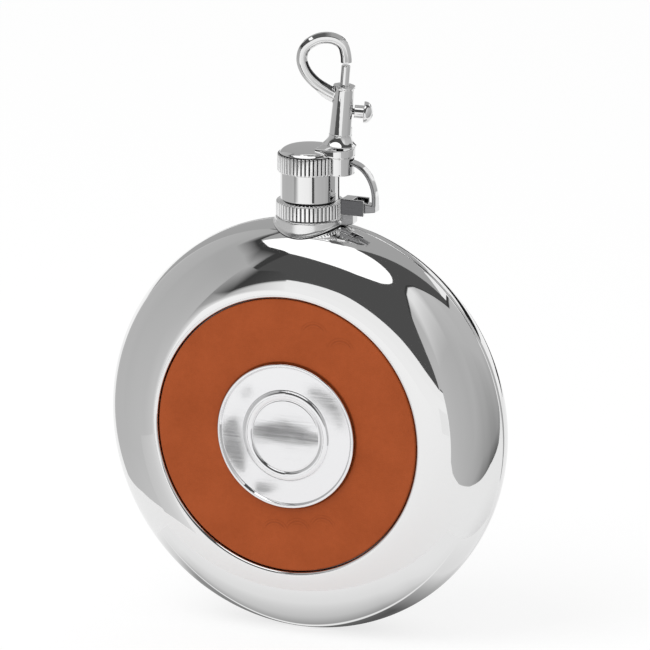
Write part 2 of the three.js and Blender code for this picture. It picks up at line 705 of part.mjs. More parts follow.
function hookBody() {
  const rimR = BARREL_NECK_R + BARREL_RIM;
  const rimFoot = barrelTop - BARREL_RIM_HEIGHT;
  const spigotR = bellCavityR - FIT_GAP;
  const outline = [[0, spigotFoot], [spigotR, spigotFoot], [spigotR, bellTop], [BARREL_FOOT_R, bellTop]];
  outline.push([BARREL_NECK_R, rimFoot - BARREL_RIM], [rimR, rimFoot], [rimR, barrelTop], [0, barrelTop]);
  const solid = join(turned(outline, SMALL_SEGMENTS), loopBar(), sidePlate(webOutline(), HOOK_WEB));
  const bore = rod(BARREL_BORE_R, springFoot, lidFoot, SMALL_SEGMENTS);
  const lidHole = rod(BOLT_R + FIT_GAP, lidFoot - FIT_GAP, barrelTop + CUT_MARGIN, SMALL_SEGMENTS);
  const slotFoot = knobHeight - BOLT_TRAVEL - knobSlotHalf;
  const slot = box([0, -knobSlotHalf, slotFoot], [BELL_R, knobSlotHalf, knobHeight + knobSlotHalf]);
  return geometryOf(cut(solid, bore, lidHole, slot));
}

addPart(hook, 'hook_body', hookBody(), POLISHED);

// Bolt: a piston with a pin through the barrel's lid, its thumb knob, and the spring below
function boltPlunger() {
  const profile = [[0, pistonFoot], [pistonR, pistonFoot], [pistonR, pistonTop], [BOLT_R, pistonTop]];
  profile.push([BOLT_R, boltTop - BOLT_TIP_BEVEL], [BOLT_R - BOLT_TIP_BEVEL, boltTop], [0, boltTop]);
  const knobHole = rod(KNOB_NECK_R + FIT_GAP, -FIT_GAP, BELL_R).rotateY(Math.PI / 2);
  return geometryOf(cut(solidOf(turned(profile, SMALL_SEGMENTS)), knobHole.translate(0, 0, knobHeight)));
}

function thumbKnob() {
  const stemFoot = BARREL_FOOT_R + FIT_GAP;
  const headFoot = stemFoot + KNOB_STEM;
  const crown = ellipseArc(0, KNOB_HEAD_R, KNOB_HEAD - KNOB_RIM, 0, 90, DOME_STEPS);
  const profile = [[0, 0], [KNOB_NECK_R, 0], [KNOB_NECK_R, stemFoot], [KNOB_STEM_R, stemFoot]];
  profile.push([KNOB_STEM_R, headFoot], [KNOB_HEAD_R, headFoot], ...raise(crown, headFoot + KNOB_RIM));
  return turned(profile, PIN_SEGMENTS).rotateY(Math.PI / 2).translate(0, 0, knobHeight);
}

class Helix extends THREE.Curve {
  constructor(radius, foot, top, turns) {
    super();
    Object.assign(this, { radius, foot, top, turns });
  }

  getPoint(share, target = new THREE.Vector3()) {
    const angle = share * this.turns * 2 * Math.PI;
    const height = this.foot + (this.top - this.foot) * share;
    return target.set(this.radius * Math.cos(angle), this.radius * Math.sin(angle), height);
  }
}

function boltSpring() {
  const wire = new THREE.Shape();
  wire.absarc(0, 0, SPRING_WIRE_R, 0, 2 * Math.PI, false);
  const endGap = SPRING_WIRE_R + FIT_GAP;
  const coilR = BARREL_BORE_R - SPRING_WIRE_R - FIT_GAP;
  const coil = new Helix(coilR, springFoot + endGap, pistonFoot - endGap, SPRING_TURNS);
  const steps = SPRING_TURNS * SPRING_STEPS;
  return new THREE.ExtrudeGeometry(wire, { steps, curveSegments: WIRE_HALF_SIDES, extrudePath: coil });
}

addPart(hook, 'bolt_plunger', boltPlunger(), POLISHED);
addPart(hook, 'thumb_knob', thumbKnob(), POLISHED);
addPart(hook, 'bolt_spring', boltSpring(), BRUSHED);

export default flask;
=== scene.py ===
"""Looks of the round steel pocket flask: fine meshes, finishes, a pale studio and the camera.

Sizes are in millimetres until a mesh is finished. Heights are above the middle of the body.
"""
import json
import math

import bmesh
import bpy
from mathutils import Matrix, Vector
from mathutils.geometry import interpolate_bezier

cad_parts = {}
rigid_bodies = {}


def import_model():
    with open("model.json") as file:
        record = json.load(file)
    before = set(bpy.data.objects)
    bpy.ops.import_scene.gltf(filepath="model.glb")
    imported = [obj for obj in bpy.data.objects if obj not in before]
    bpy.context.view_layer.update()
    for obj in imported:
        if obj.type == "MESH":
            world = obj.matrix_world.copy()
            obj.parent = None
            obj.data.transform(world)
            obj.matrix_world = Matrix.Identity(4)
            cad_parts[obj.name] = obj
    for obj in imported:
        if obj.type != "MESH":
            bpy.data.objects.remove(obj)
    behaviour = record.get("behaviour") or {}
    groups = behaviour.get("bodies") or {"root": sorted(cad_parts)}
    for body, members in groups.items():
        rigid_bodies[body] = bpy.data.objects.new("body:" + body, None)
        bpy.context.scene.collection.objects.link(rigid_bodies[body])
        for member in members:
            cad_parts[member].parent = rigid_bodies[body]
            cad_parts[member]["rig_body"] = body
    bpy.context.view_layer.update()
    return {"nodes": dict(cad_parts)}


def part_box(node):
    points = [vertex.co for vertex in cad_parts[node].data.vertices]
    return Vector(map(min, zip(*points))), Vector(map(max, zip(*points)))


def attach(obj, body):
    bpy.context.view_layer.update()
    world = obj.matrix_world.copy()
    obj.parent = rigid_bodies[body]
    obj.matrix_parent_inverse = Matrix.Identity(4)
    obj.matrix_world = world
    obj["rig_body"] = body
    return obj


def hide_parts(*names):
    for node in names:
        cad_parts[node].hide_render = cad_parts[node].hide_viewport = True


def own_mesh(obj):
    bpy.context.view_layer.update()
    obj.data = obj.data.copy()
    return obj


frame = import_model()

MM = 0.001
TAU = 2 * math.pi
POLE = 1e-6
FIT_GAP = 0.1
EDGE_ROUND = 0.1
CUT_MARGIN = 1


def node_box(node):
    """Lowest and highest corner of a CAD node, in millimetres."""
    low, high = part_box(node)
    return low / MM, high / MM


def node_span(node):
    """Foot and top of a CAD node, above the middle of the body."""
    return [corner.z - MIDDLE for corner in node_box(node)]


# Sizes taken from the frame
LEATHER_FULLNESS = 0.15
shell_high = node_box("back_shell")[1]
leather_low, leather_high = node_box("leather_ring")
medal_low, medal_high = node_box("medallion")
MIDDLE = (medal_low.z + medal_high.z) / 2
BODY_R = shell_high.x
HALF_DEPTH = shell_high.y
LEATHER_R = leather_high.x + LEATHER_FULLNESS
LEATHER_FACE = -leather_low.y
RECESS_FLOOR = -leather_high.y
MEDALLION_R = medal_high.x
MEDALLION_RIM = -medal_low.y
CAP_FOOT, CAP_TOP = node_span("cap_shell")
NECK_FOOT, NECK_TOP = node_span("neck_tube")
CROWN_TOP = node_span("cap_crown")[1]
ARM_OUT = node_box("captive_arm")[1].x

# Body
WALL = 0.8
LEATHER_GAP = 0.25
RECESS_R = LEATHER_R + LEATHER_GAP
FLAT_R = RECESS_R + WALL
LIP_ROUND = 0.75
SEAM_EASE = 0.16
LEATHER_HOLE_R = 15.8
LEATHER_ROUND = 0.45
LEATHER_DIP = 0.4
LEATHER_TUCK = 0.1

# Medallion, heights above the leather
MEDALLION_FIELD = 0.65
MEDALLION_BEAD = (9.4, 1.0, 0.5)
MEDALLION_GROOVE = 0.45
MEDALLION_RIM_WIDTH = 0.6
MEDALLION_BEVEL = 0.35
MEDALLION_ROUND = 0.2
MEDALLION_RIM_ROUNDS = (0.12, 0.25)

# Neck and thread
NECK_BORE_R = 3.9
NECK_R = 4.6
NECK_EASE = 0.3
THREAD_PITCH = 0.9
THREAD_TURNS = 3
THREAD_WIDTH = 0.75
THREAD_DEPTH = 0.4
THREAD_ROWS = 90
THREAD_START = 50.0
LINER_BORE_R = 5.65
LINER_R = 6.0
LINER_FOOT = 49.6
LINER_TOP = 57.0
LINER_THREAD_DEPTH = 0.35
GASKET_R = 5.2
GASKET_TOP = 56.1

# Cap
CAP_BORE_R = 6.1
WAIST_R = 6.64
LOWER_BAND_R = 7.65
UPPER_BAND_R = 7.37
WAIST_FOOT = CAP_FOOT + 3.5
WEB_FOOT = WAIST_FOOT + 6.85
WEB_TOP = WEB_FOOT + 0.95
RIVET_BORE_R = 0.95
BAND_ROUND = 0.3
WEB_ROUND = 0.12
WAIST_GROOVE = 0.45
WAIST_STRAIGHT = 0.3
KNURL_TEETH = 48
KNURL_STEPS = 16
KNURL_DEPTH = 0.4
KNURL_FADE = 0.3
KNURL_SHARPNESS = 5
KNURL_DARK = 0.2

# Crown and lug
CROWN_BASE = CAP_TOP + FIT_GAP
CROWN_STEM_R = 2.0
DOME_R = 6.95
DOME_FLAT_R = 5.19
DOME_DROP = 0.45
DOME_CROWN = 0.3
DOME_SHOULDER = 2.47
DOME_ARC = (33, 82)
DOME_LEDGE = 0.2
LUG_X = 7.2
LUG_R = 3.6
LUG_ROOT_X = 2.6
LUG_TOP = CROWN_BASE + 1.8
KNUCKLE_R = 3.4
KNUCKLE_FOOT = CROWN_BASE - 4.2
KNUCKLE_HEAD = LUG_TOP - 0.9
KNUCKLE_START = UPPER_BAND_R + 0.3

# Collar, hinge and arm
COLLAR_R = 7.83
COLLAR_TOP = BODY_R + 0.6
COLLAR_BORE_R = 4.7
COLLAR_SEAT = 0.1
COLLAR_LIP = 0.7
COLLAR_LIP_OUT = 0.4
COLLAR_ROUND = 0.35
BRACKET_START = 8.3
BRACKET_END = 13.9
BRACKET_HALF = 2.05
BRACKET_FOOT = 49.9
BRACKET_LOW = BRACKET_FOOT - 0.3
BRACKET_TOP = 53.25
GUSSET_END = 12.3
GUSSET_HALF = 1.3
GUSSET_FOOT = COLLAR_TOP - 1.2
GUSSET_ROOT = COLLAR_R - 1.5
GUSSET_STEPS = 16
SIDE_FACING = 0.8
PIN_X = 12.9
PIN_Z = 51.3
PIN_R = 0.6
PIN_HALF = 1.75
PIN_LIFT = 0.9
CHANNEL_START = 11.05
CHANNEL_HALF = 1.35
CHANNEL_FOOT = BODY_R - 5
ARM_HALF_WIDTH = 1.25
ARM_THICKNESS = 0.95
ARM_ROUND = 0.44
ARM_SLOT_PLAY = 0.35
ARM_X = ARM_OUT - ARM_THICKNESS / 2
ARM_TOP = 61.5
ARM_BEND_X = 9.5
ARM_BEND_Z = 53.5
ARM_END_X = 8.02
ARM_EYE_R = 1.3
ARM_FOOT = 0.7
ARM_PIN_X = 9.135
ARM_PIN_R = 0.55
ARM_PIN_COVER = 0.3
ARM_SIDE_FACING = 0.5
ARM_INNER_FACING = 0.6

# Spring hook, along its own axis from the lug's top
HOOK_LEAN = math.radians(4.5)
HOOK_TURN = math.radians(23)
BELL_FOOT = 0.6
BELL_TOP = 3.1
BELL_R = 3.8
BELL_CAVITY_R = 2.1
BELL_FLOOR = 1.2
BELL_RIM = 0.25
BELL_CHAMFER = 0.15
POST_R = 0.85
POST_SEAT = 1.3
POST_HEAD_R = 1.6
POST_TOP = 2.0
BARREL_FOOT_R = 2.6
BARREL_NECK_R = 2.25
BARREL_RIM_R = 2.5
BARREL_TOP = 14.5
BARREL_BORE_R = 1.65
SPIGOT_FOOT = 2.1
SPIGOT_R = 2.0
SPRING_FOOT = 2.5
LID_FOOT = 13.7
LID_HOLE_R = 1.15
BOLT_R = 1.05
BOLT_TOP = 19.15
PISTON_R = 1.55
PISTON = (7.55, 9.65)
KNOB_HEIGHT = 8.6
KNOB_SLOT_HALF = 0.8
BOLT_TRAVEL = 3.0
HOOK_TIP = 19.75
SPRING_R = 1.38
SPRING_TURNS = 4
SPRING_WIRE_R = 0.17
SPRING_SEAT = 0.27
LOOP_BAR = 2.5
LOOP_BEVEL = 0.65
LOOP_ROUTE = [
    (-1.6, -2.4), (-4.3, -1.2), (-6.8, 0.3), (-9.0, 2.7), (-10.0, 5.4), (-9.4, 8.1),
    (-6.7, 10.2), (-3.6, 10.6), (-1.2, 9.4), (-0.25, 7.1),
]
LOOP_MIDDLE = Vector((-4.6, 0, BARREL_TOP + 5))
CROOK_FACING = 0.5
HOOK_WEB_HALF = 0.7
HOOK_WEB_FOOT = -4.2
HOOK_WEB_HEAD = -2.2
HOOK_WEB_BULGE = [(-5.2, -3.3), (-7.4, -1.0)]

# Mesh density
BODY_SEGMENTS = 320
EDGE_STEPS = 56
SEGMENTS = 160
SMALL_SEGMENTS = 96
ROUND_STEPS = 6
ARC_STEPS = 24
LUG_STEPS = 32
BEND_STEPS = 48
SPRING_STEPS = 40
CAST_VOXEL = 0.09
CAST_SMOOTHING = 10

# Places
UP = Matrix.Translation((0, 0, MIDDLE))
FRONT = UP @ Matrix.Rotation(math.pi / 2, 4, "X")
BACK = UP @ Matrix.Rotation(-math.pi / 2, 4, "X")
HOOK = (
    UP
    @ Matrix.Translation((LUG_X, 0, LUG_TOP))
    @ Matrix.Rotation(HOOK_TURN, 4, "Z")
    @ Matrix.Rotation(HOOK_LEAN, 4, "Y")
)
KNOB = HOOK @ Matrix.Translation((0, 0, KNOB_HEIGHT)) @ Matrix.Rotation(math.pi / 2, 4, "Y")
FROM_HOOK = HOOK.inverted()
PIN = UP @ Matrix.Translation((PIN_X, 0, PIN_Z)) @ Matrix.Rotation(math.pi / 2, 4, "X")
ARM_PIN = UP @ Matrix.Translation((ARM_PIN_X, 0, 0))
CENTRE = Vector((0, 0, MIDDLE * MM))


# Outlines
def rounded(corners, closed=False, steps=ROUND_STEPS):
    """Points of an outline whose corners (x, y, radius) are turned into arcs; (x, y) stays sharp."""
    points = []
    count = len(corners)
    for i, corner in enumerate(corners):
        here = Vector(corner[:2])
        radius = corner[2] if len(corner) > 2 else 0
        if radius == 0 or (not closed and i in (0, count - 1)):
            points.append(tuple(here))
            continue
        before = (Vector(corners[i - 1][:2]) - here).normalized()
        after = (Vector(corners[(i + 1) % count][:2]) - here).normalized()
        half = before.angle(after) / 2
        middle = here + (before + after).normalized() * (radius / math.sin(half))
        start = here + before * (radius / math.tan(half)) - middle
        end = here + after * (radius / math.tan(half)) - middle
        turn = start.angle_signed(end)
        for step in range(steps + 1):
            spoke = start.copy()
            spoke.rotate(Matrix.Rotation(-turn * step / steps, 2))
            points.append(tuple(middle + spoke))
    return points


def arc(middle, run, start, end, steps):
    """Points of an elliptical arc round middle, from one angle in degrees to another."""
    angles = [math.radians(start + (end - start) * i / steps) for i in range(steps + 1)]
    return [(middle[0] + run[0] * math.cos(a), middle[1] + run[1] * math.sin(a)) for a in angles]


def edge_arc(depth, start, end):
    """The shells' rounded edge, or a face at an even depth under it, as (radius, height)."""
    return arc((FLAT_R, 0), (BODY_R - depth - FLAT_R, HALF_DEPTH - depth), start, end, EDGE_STEPS)


def body_height(x, y):
    """Height of the body's rim surface over a point of the plan."""
    share = y / HALF_DEPTH
    radius = FLAT_R + (BODY_R - FLAT_R) * math.sqrt(1 - share * share)
    return math.sqrt(radius * radius - x * x)


# Meshes
def skin(bm, rings, closed):
    """Faces between neighbouring rings of vertices; a ring of one vertex is a pole."""
    pairs = list(zip(rings, rings[1:]))
    if closed:
        pairs.append((rings[-1], rings[0]))
    for low, high in pairs:
        count = max(len(low), len(high))
        for i in range(count):
            j = (i + 1) % count
            corners = (low[i % len(low)], low[j % len(low)], high[j % len(high)], high[i % len(high)])
            bm.faces.new(dict.fromkeys(corners))


def lathe(profile, place=UP, segments=SEGMENTS, shape=None):
    """A body turned about place's own Z from (radius, height) points, reshaped by shape(r, h, angle)."""
    bm = bmesh.new()
    rings = []
    for radius, height in profile:
        ring = []
        for i in range(segments if radius > POLE else 1):
            angle = TAU * i / segments
            r, h = shape(radius, height, angle) if shape else (radius, height)
            ring.append(bm.verts.new(place @ Vector((r * math.cos(angle), r * math.sin(angle), h))))
        rings.append(ring)
    skin(bm, rings, closed=profile[0][0] > POLE)
    bmesh.ops.recalc_face_normals(bm, faces=bm.faces)
    return bm


def rod(radius, foot, top, place=UP, ease=0.08):
    """A plain pin with eased ends."""
    profile = [(0, foot), (radius, foot, ease), (radius, top, ease), (0, top)]
    return lathe(rounded(profile), place, SMALL_SEGMENTS)


def capped(rings):
    """A tube through rings of points, with closed ends."""
    bm = bmesh.new()
    rings = [[bm.verts.new(point) for point in ring] for ring in rings]
    skin(bm, rings, closed=False)
    bm.faces.new(rings[0])
    bm.faces.new(rings[-1])
    bmesh.ops.recalc_face_normals(bm, faces=bm.faces)
    return bm


def along(points, place):
    """Stations of a bar bent along points in place's own upright plane."""
    across = Vector((0, 1, 0))
    turn = place.to_3x3()
    stations = []
    for i, point in enumerate(points):
        way = (points[min(i + 1, len(points) - 1)] - points[max(i - 1, 0)]).normalized()
        stations.append((place @ point, turn @ across.cross(way), turn @ across))
    return stations


def sweep(stations, section):
    """A section of (u, v) points carried along stations (middle, u way, v way), with closed ends."""
    return capped([[middle + u_way * u + v_way * v for u, v in section] for middle, u_way, v_way in stations])


def plate(outline, low, high, place=UP, side=False):
    """An outline given thickness: in plan from one height to another, or seen from the side along Y."""
    rings = []
    for level in (low, high):
        points = [(a, level, b) if side else (a, b, level) for a, b in outline]
        rings.append([place @ Vector(point) for point in points])
    return capped(rings)


def block(low, high, place=UP):
    """A plain cutter between two corners."""
    outline = [(low[0], low[1]), (high[0], low[1]), (high[0], high[1]), (low[0], high[1])]
    return plate(outline, low[2], high[2], place)


def add_object(name, data):
    """A new object in the scene."""
    obj = bpy.data.objects.new(name, data)
    bpy.context.scene.collection.objects.link(obj)
    return obj


def to_mesh(name, bm):
    """A mesh made from a working mesh, which goes away."""
    mesh = bpy.data.meshes.new(name)
    bm.to_mesh(mesh)
    bm.free()
    return mesh


def form_object(bm):
    """A working object that holds a mesh while modifiers run on it."""
    return add_object("form", to_mesh("form", bm))


def drop(obj):
    mesh = obj.data
    bpy.data.objects.remove(obj)
    bpy.data.meshes.remove(mesh)


def applied(obj):
    """The mesh of a working object with its modifiers run; the object goes away."""
    graph = bpy.context.evaluated_depsgraph_get()
    mesh = bpy.data.meshes.new_from_object(obj.evaluated_get(graph))
    bm = bmesh.new()
    bm.from_mesh(mesh)
    bpy.data.meshes.remove(mesh)
    drop(obj)
    return bm


def merged(meshes):
    """Several meshes as one, still overlapping."""
    whole = bmesh.new()
    for bm in meshes:
        mesh = to_mesh("form", bm)
        whole.from_mesh(mesh)
        bpy.data.meshes.remove(mesh)
    return whole


def carved(bm, *cutters):
    """A mesh with others cut away from it."""
    obj = form_object(bm)
    tools = [form_object(cutter) for cutter in cutters]
    for tool in tools:
        modifier = obj.modifiers.new("cut", "BOOLEAN")
        modifier.operation = "DIFFERENCE"
        modifier.solver = "EXACT"
        modifier.object = tool
    result = applied(obj)
    for tool in tools:
        drop(tool)
    return result


def remeshed(bm, smoothing):
    """One closed skin over overlapping forms, its edges and joins eased as on a casting."""
    obj = form_object(bm)
    modifier = obj.modifiers.new("skin", "REMESH")
    modifier.mode = "VOXEL"
    modifier.voxel_size = CAST_VOXEL
    if smoothing:
        ease = obj.modifiers.new("ease", "SMOOTH")
        ease.factor = 0.5
        ease.iterations = smoothing
    return applied(obj)


def cast(forms, cutters):
    """Forms joined into one casting, with holes and slots cut in it."""
    whole = remeshed(merged(forms), 0)
    return remeshed(carved(whole, *cutters), CAST_SMOOTHING)


def piece(node, bm, material, flat_faces=True):
    """Makes a finished mesh the look of its CAD node, riding on that node's body."""
    bmesh.ops.scale(bm, vec=(MM, MM, MM), verts=bm.verts)
    mesh = to_mesh("fine_" + node, bm)
    mesh.shade_smooth()
    mesh.materials.append(material)
    obj = add_object("fine_" + node, mesh)
    if flat_faces:
        normals = obj.modifiers.new("normals", "WEIGHTED_NORMAL")
        normals.keep_sharp = True
    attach(obj, frame["nodes"][node]["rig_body"])
    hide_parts(node)
    return obj


# Finishes
def add(tree, kind, inputs, **settings):
    """A shader node with its settings and its inputs, each a value or another node's output."""
    made = tree.nodes.new("ShaderNode" + kind)
    for name, value in settings.items():
        setattr(made, name, value)
    for name, value in inputs.items():
        if isinstance(value, bpy.types.NodeSocket):
            tree.links.new(value, made.inputs[name])
        else:
            made.inputs[name].default_value = value
    return made


def new_material(name, **values):
    """A Principled material, its node tree, its shader and its object coordinates in metres."""
    material = bpy.data.materials.new(name)
    material.use_nodes = True
    tree = material.node_tree
    shader = tree.nodes["Principled BSDF"]
    for socket, value in values.items():
        shader.inputs[socket.replace("_", " ")].default_value = value
    place = add(tree, "TexCoord", {}).outputs["Object"]
    return material, tree, shader, place


def spread(tree, value, low, high, out_low=0.0, out_high=1.0):
    """A value mapped from one range to another."""
    inputs = {"Value": value, "From Min": low, "From Max": high, "To Min": out_low, "To Max": out_high}
    return add(tree, "MapRange", inputs).outputs[0]


def noise(tree, place, scale, detail, roughness=0.5):
    inputs = {"Vector": place, "Scale": scale, "Detail": detail, "Roughness": roughness}
    return add(tree, "TexNoise", inputs).outputs[0]


def combine(tree, operation, *values):
    """The result of an operation on values or on other nodes' outputs."""
    return add(tree, "Math", dict(enumerate(values)), operation=operation).outputs[0]


def bump(tree, shader, height, strength, depth):
    """Raises a surface by a height from 0 to 1, over any bump that it has already."""
    inputs = {"Height": height, "Strength": strength, "Distance": depth}
    normal = shader.inputs["Normal"]
    if normal.is_linked:
        inputs["Normal"] = normal.links[0].from_socket
    tree.links.new(add(tree, "Bump", inputs).outputs[0], normal)


def two_tone(tree, shader, share, dark, light):
    """Colours a surface from dark to light by a share from 0 to 1."""
    tone = add(tree, "Mix", {"Factor": share}, data_type="RGBA")
    tone.inputs["A"].default_value = (*dark, 1)
    tone.inputs["B"].default_value = (*light, 1)
    tree.links.new(tone.outputs["Result"], shader.inputs["Base Color"])


def polished_steel(name, color, gloss):
    """Polished steel with faint handling marks in its gloss; its brightest copy, on the knurl's teeth, is a
    painted highlight.
    """
    material, tree, shader, place = new_material(name, Base_Color=(*color, 1), Metallic=1.0)
    smudges = noise(tree, place, 55.0, 4.0, 0.6)
    tree.links.new(spread(tree, smudges, 0.3, 0.75, *gloss), shader.inputs["Roughness"])
    return material


def turned_steel(name, color):
    """Turned steel of a given colour with fine tool marks; the copies darker than plain turned steel are
    painted shade.
    """
    material, tree, shader, place = new_material(name, Base_Color=(*color, 1), Metallic=1.0)
    stretch = add(tree, "Mapping", {"Vector": place, "Scale": (400.0, 400.0, 9000.0)}).outputs[0]
    marks = noise(tree, stretch, 1.0, 3.0)
    tree.links.new(spread(tree, marks, 0.3, 0.7, 0.2, 0.34), shader.inputs["Roughness"])
    bump(tree, shader, marks, 0.15, 0.01 * MM)
    return material


def medallion_steel(name, color):
    """Polished plate with straight brush marks across its middle."""
    material, tree, shader, place = new_material(name, Base_Color=(*color, 1), Metallic=1.0)
    lie = {"Rotation": (0.0, math.radians(-32), 0.0), "Scale": (60.0, 1.0, 2600.0)}
    brushed = add(tree, "Mapping", {"Vector": place, **lie}).outputs[0]
    marks = noise(tree, brushed, 1.0, 3.0, 0.65)
    even = spread(tree, noise(tree, place, 160.0, 3.0), 0.3, 0.7, 0.02, 0.05)
    roughness = combine(tree, "ADD", even, spread(tree, marks, 0.35, 0.8, 0.0, 0.05))
    tree.links.new(roughness, shader.inputs["Roughness"])
    bump(tree, shader, marks, 0.03, 0.02 * MM)
    return material


# Patches of fine ripples in the leather, beside and above its middle
RIPPLE_PITCH = 0.65
RIPPLE_R = 2.8
RIPPLE_REACH = 1.1
RIPPLE_ARCH = (0.3, 0.8)
RIPPLE_SPOTS = [(2.7, -22.5), (-2.9, -23.3), (8.8, -21.1), (6.6, 23.7), (13.2, 20.6)]


def ripples(tree, place, x, z):
    """A few fine arched lines over a spot of the leather, from 0 to 1."""
    spot = (x * MM, 0.0, (MIDDLE + z) * MM)
    away = add(tree, "VectorMath", {0: place, 1: spot}, operation="SUBTRACT").outputs[0]
    flat = add(tree, "VectorMath", {0: away, 1: (1.0, 0.0, 1.0)}, operation="MULTIPLY").outputs[0]
    distance = add(tree, "VectorMath", {0: flat}, operation="LENGTH").outputs["Value"]
    phase = combine(tree, "MULTIPLY", distance, TAU / (RIPPLE_PITCH * MM))
    wave = spread(tree, combine(tree, "SINE", phase), -1.0, 1.0)
    near = combine(tree, "ABSOLUTE", combine(tree, "SUBTRACT", distance, RIPPLE_R * MM))
    band = spread(tree, near, 0.0, RIPPLE_REACH * MM, 1.0, 0.0)
    height = add(tree, "SeparateXYZ", {0: flat}).outputs["Z"]
    low, high = [RIPPLE_R * MM * share for share in RIPPLE_ARCH]
    over = spread(tree, height, low, high)
    return combine(tree, "MULTIPLY", wave, combine(tree, "MULTIPLY", band, over))


def tan_leather(name, dark, light):
    """Smooth tan leather: cloudy colour, fine pores and a few patches of fine ripples, whose lines also
    darken the colour as painted shade in the creases.
    """
    material, tree, shader, place = new_material(name, Specular_IOR_Level=0.22, Sheen_Weight=0.05)
    clouds = noise(tree, place, 90.0, 4.0, 0.6)
    mix = combine(tree, "MULTIPLY_ADD", noise(tree, place, 900.0, 3.0, 0.6), 0.35, clouds)
    cells = add(tree, "TexVoronoi", {"Vector": place, "Scale": 1700.0}, feature="DISTANCE_TO_EDGE")
    pores = spread(tree, cells.outputs["Distance"], 0.0, 0.18)
    creases = ripples(tree, place, *RIPPLE_SPOTS[0])
    for spot in RIPPLE_SPOTS[1:]:
        creases = combine(tree, "ADD", creases, ripples(tree, place, *spot))
    # The ripples darken the colour: painted shade in the creases
    crease_shade_tone = combine(tree, "MULTIPLY_ADD", creases, -0.55, mix)
    two_tone(tree, shader, spread(tree, crease_shade_tone, 0.3, 0.95), dark, light)
    bump(tree, shader, pores, 0.25, 0.05 * MM)
    bump(tree, shader, creases, 0.5, 0.12 * MM)
    tree.links.new(spread(tree, mix, 0.4, 1.0, 0.62, 0.5), shader.inputs["Roughness"])
    return material


def moulded(name, color, roughness, grain):
    """Moulded plastic or rubber with a fine surface grain."""
    material, tree, shader, place = new_material(name, Roughness=roughness)
    speckle = noise(tree, place, grain, 3.0)
    darker = [c * 0.92 for c in color]
    two_tone(tree, shader, spread(tree, speckle, 0.3, 0.7), darker, color)
    bump(tree, shader, speckle, 0.1, 0.03 * MM)
    return material


POLISHED = polished_steel("polished_steel", (0.815, 0.815, 0.815), (0.025, 0.055))
MEDALLION = medallion_steel("medallion_steel", (0.83, 0.83, 0.84))
TURNED = turned_steel("turned_steel", (0.6, 0.61, 0.62))
# Painted shade: a very dark steel for the gap beside the leather and the bracket's cheeks
DARK_SHADE_STEEL = turned_steel("dark_shade_steel", (0.125, 0.125, 0.13))
# Painted shade: a darker steel for the gusset's cheeks and the arm's sides
STAMPED_SHADE_STEEL = turned_steel("stamped_shade_steel", (0.3, 0.3, 0.305))
# Painted highlight: a brighter copy of the steel for the knurl's teeth
KNURL_HIGHLIGHT_STEEL = polished_steel("knurl_highlight_steel", (0.97, 0.97, 0.97), (0.16, 0.22))
SATIN = polished_steel("satin_steel", (0.86, 0.86, 0.86), (0.2, 0.26))
# Painted shade: a nearly black steel for grooves, the ledge under the dome, the collar's foot and the loop's
# crook
BLACK_SHADE_STEEL = turned_steel("black_shade_steel", (0.04, 0.04, 0.042))
LEATHER = tan_leather("tan_leather", (0.36, 0.068, 0.012), (0.46, 0.091, 0.019))
NYLON = moulded("nylon", (0.86, 0.85, 0.8), 0.45, 1500.0)
SILICONE = moulded("silicone", (0.68, 0.65, 0.6), 0.6, 2200.0)
ADHESIVE = moulded("adhesive", (0.07, 0.07, 0.065), 0.8, 1200.0)


def refinish(obj, chosen, finish):
    """Gives another finish to the faces that chosen(radius, height, face) picks."""
    obj.data.materials.append(finish)
    for face in obj.data.polygons:
        spot = face.center / MM
        if chosen(math.hypot(spot.x, spot.y), spot.z - MIDDLE, face):
            face.material_index = len(obj.data.materials) - 1


# Body shells
def pressed_shell(outer, inner, place):
    """A shell turned from two profiles, flat where it stands, with its half of the neck's hole."""
    eased = [point for point in outer if point[1] > SEAM_EASE]
    profile = [*eased, (BODY_R - SEAM_EASE, 0), (BODY_R - WALL, 0), *inner]
    shell = lathe(profile, place, BODY_SEGMENTS)
    for vertex in shell.verts:
        vertex.co.z = max(vertex.co.z, 0.0)
    return carved(shell, rod(COLLAR_BORE_R, FLAT_R, BODY_R + WALL, ease=0.01))


def front_shell():
    recess = [
        (0, RECESS_FLOOR), (RECESS_R, RECESS_FLOOR, EDGE_ROUND),
        (RECESS_R, HALF_DEPTH, LIP_ROUND), (FLAT_R, HALF_DEPTH),
    ]
    inner_floor = RECESS_FLOOR - WALL
    inner = [*edge_arc(WALL, 0, 90)[1:], (FLAT_R, inner_floor), (0, inner_floor)]
    return pressed_shell([*rounded(recess), *edge_arc(0, 90, 0)[1:]], inner, FRONT)


def back_shell():
    outer = [(0, HALF_DEPTH), (FLAT_R / 2, HALF_DEPTH), *edge_arc(0, 90, 0)]
    inner = [*edge_arc(WALL, 0, 90)[1:], (0, HALF_DEPTH - WALL)]
    return pressed_shell(outer, inner, BACK)


# Inlay
def leather_ring():
    profile = [
        (LEATHER_HOLE_R, RECESS_FLOOR),
        (LEATHER_R, RECESS_FLOOR),
        (LEATHER_R, LEATHER_FACE, LEATHER_ROUND),
        (MEDALLION_R + LEATHER_DIP, LEATHER_FACE, LEATHER_DIP),
        (MEDALLION_R - LEATHER_TUCK, LEATHER_FACE - LEATHER_DIP),
        (LEATHER_HOLE_R, LEATHER_FACE - LEATHER_DIP),
    ]
    return lathe(rounded(profile, closed=True), FRONT, BODY_SEGMENTS)


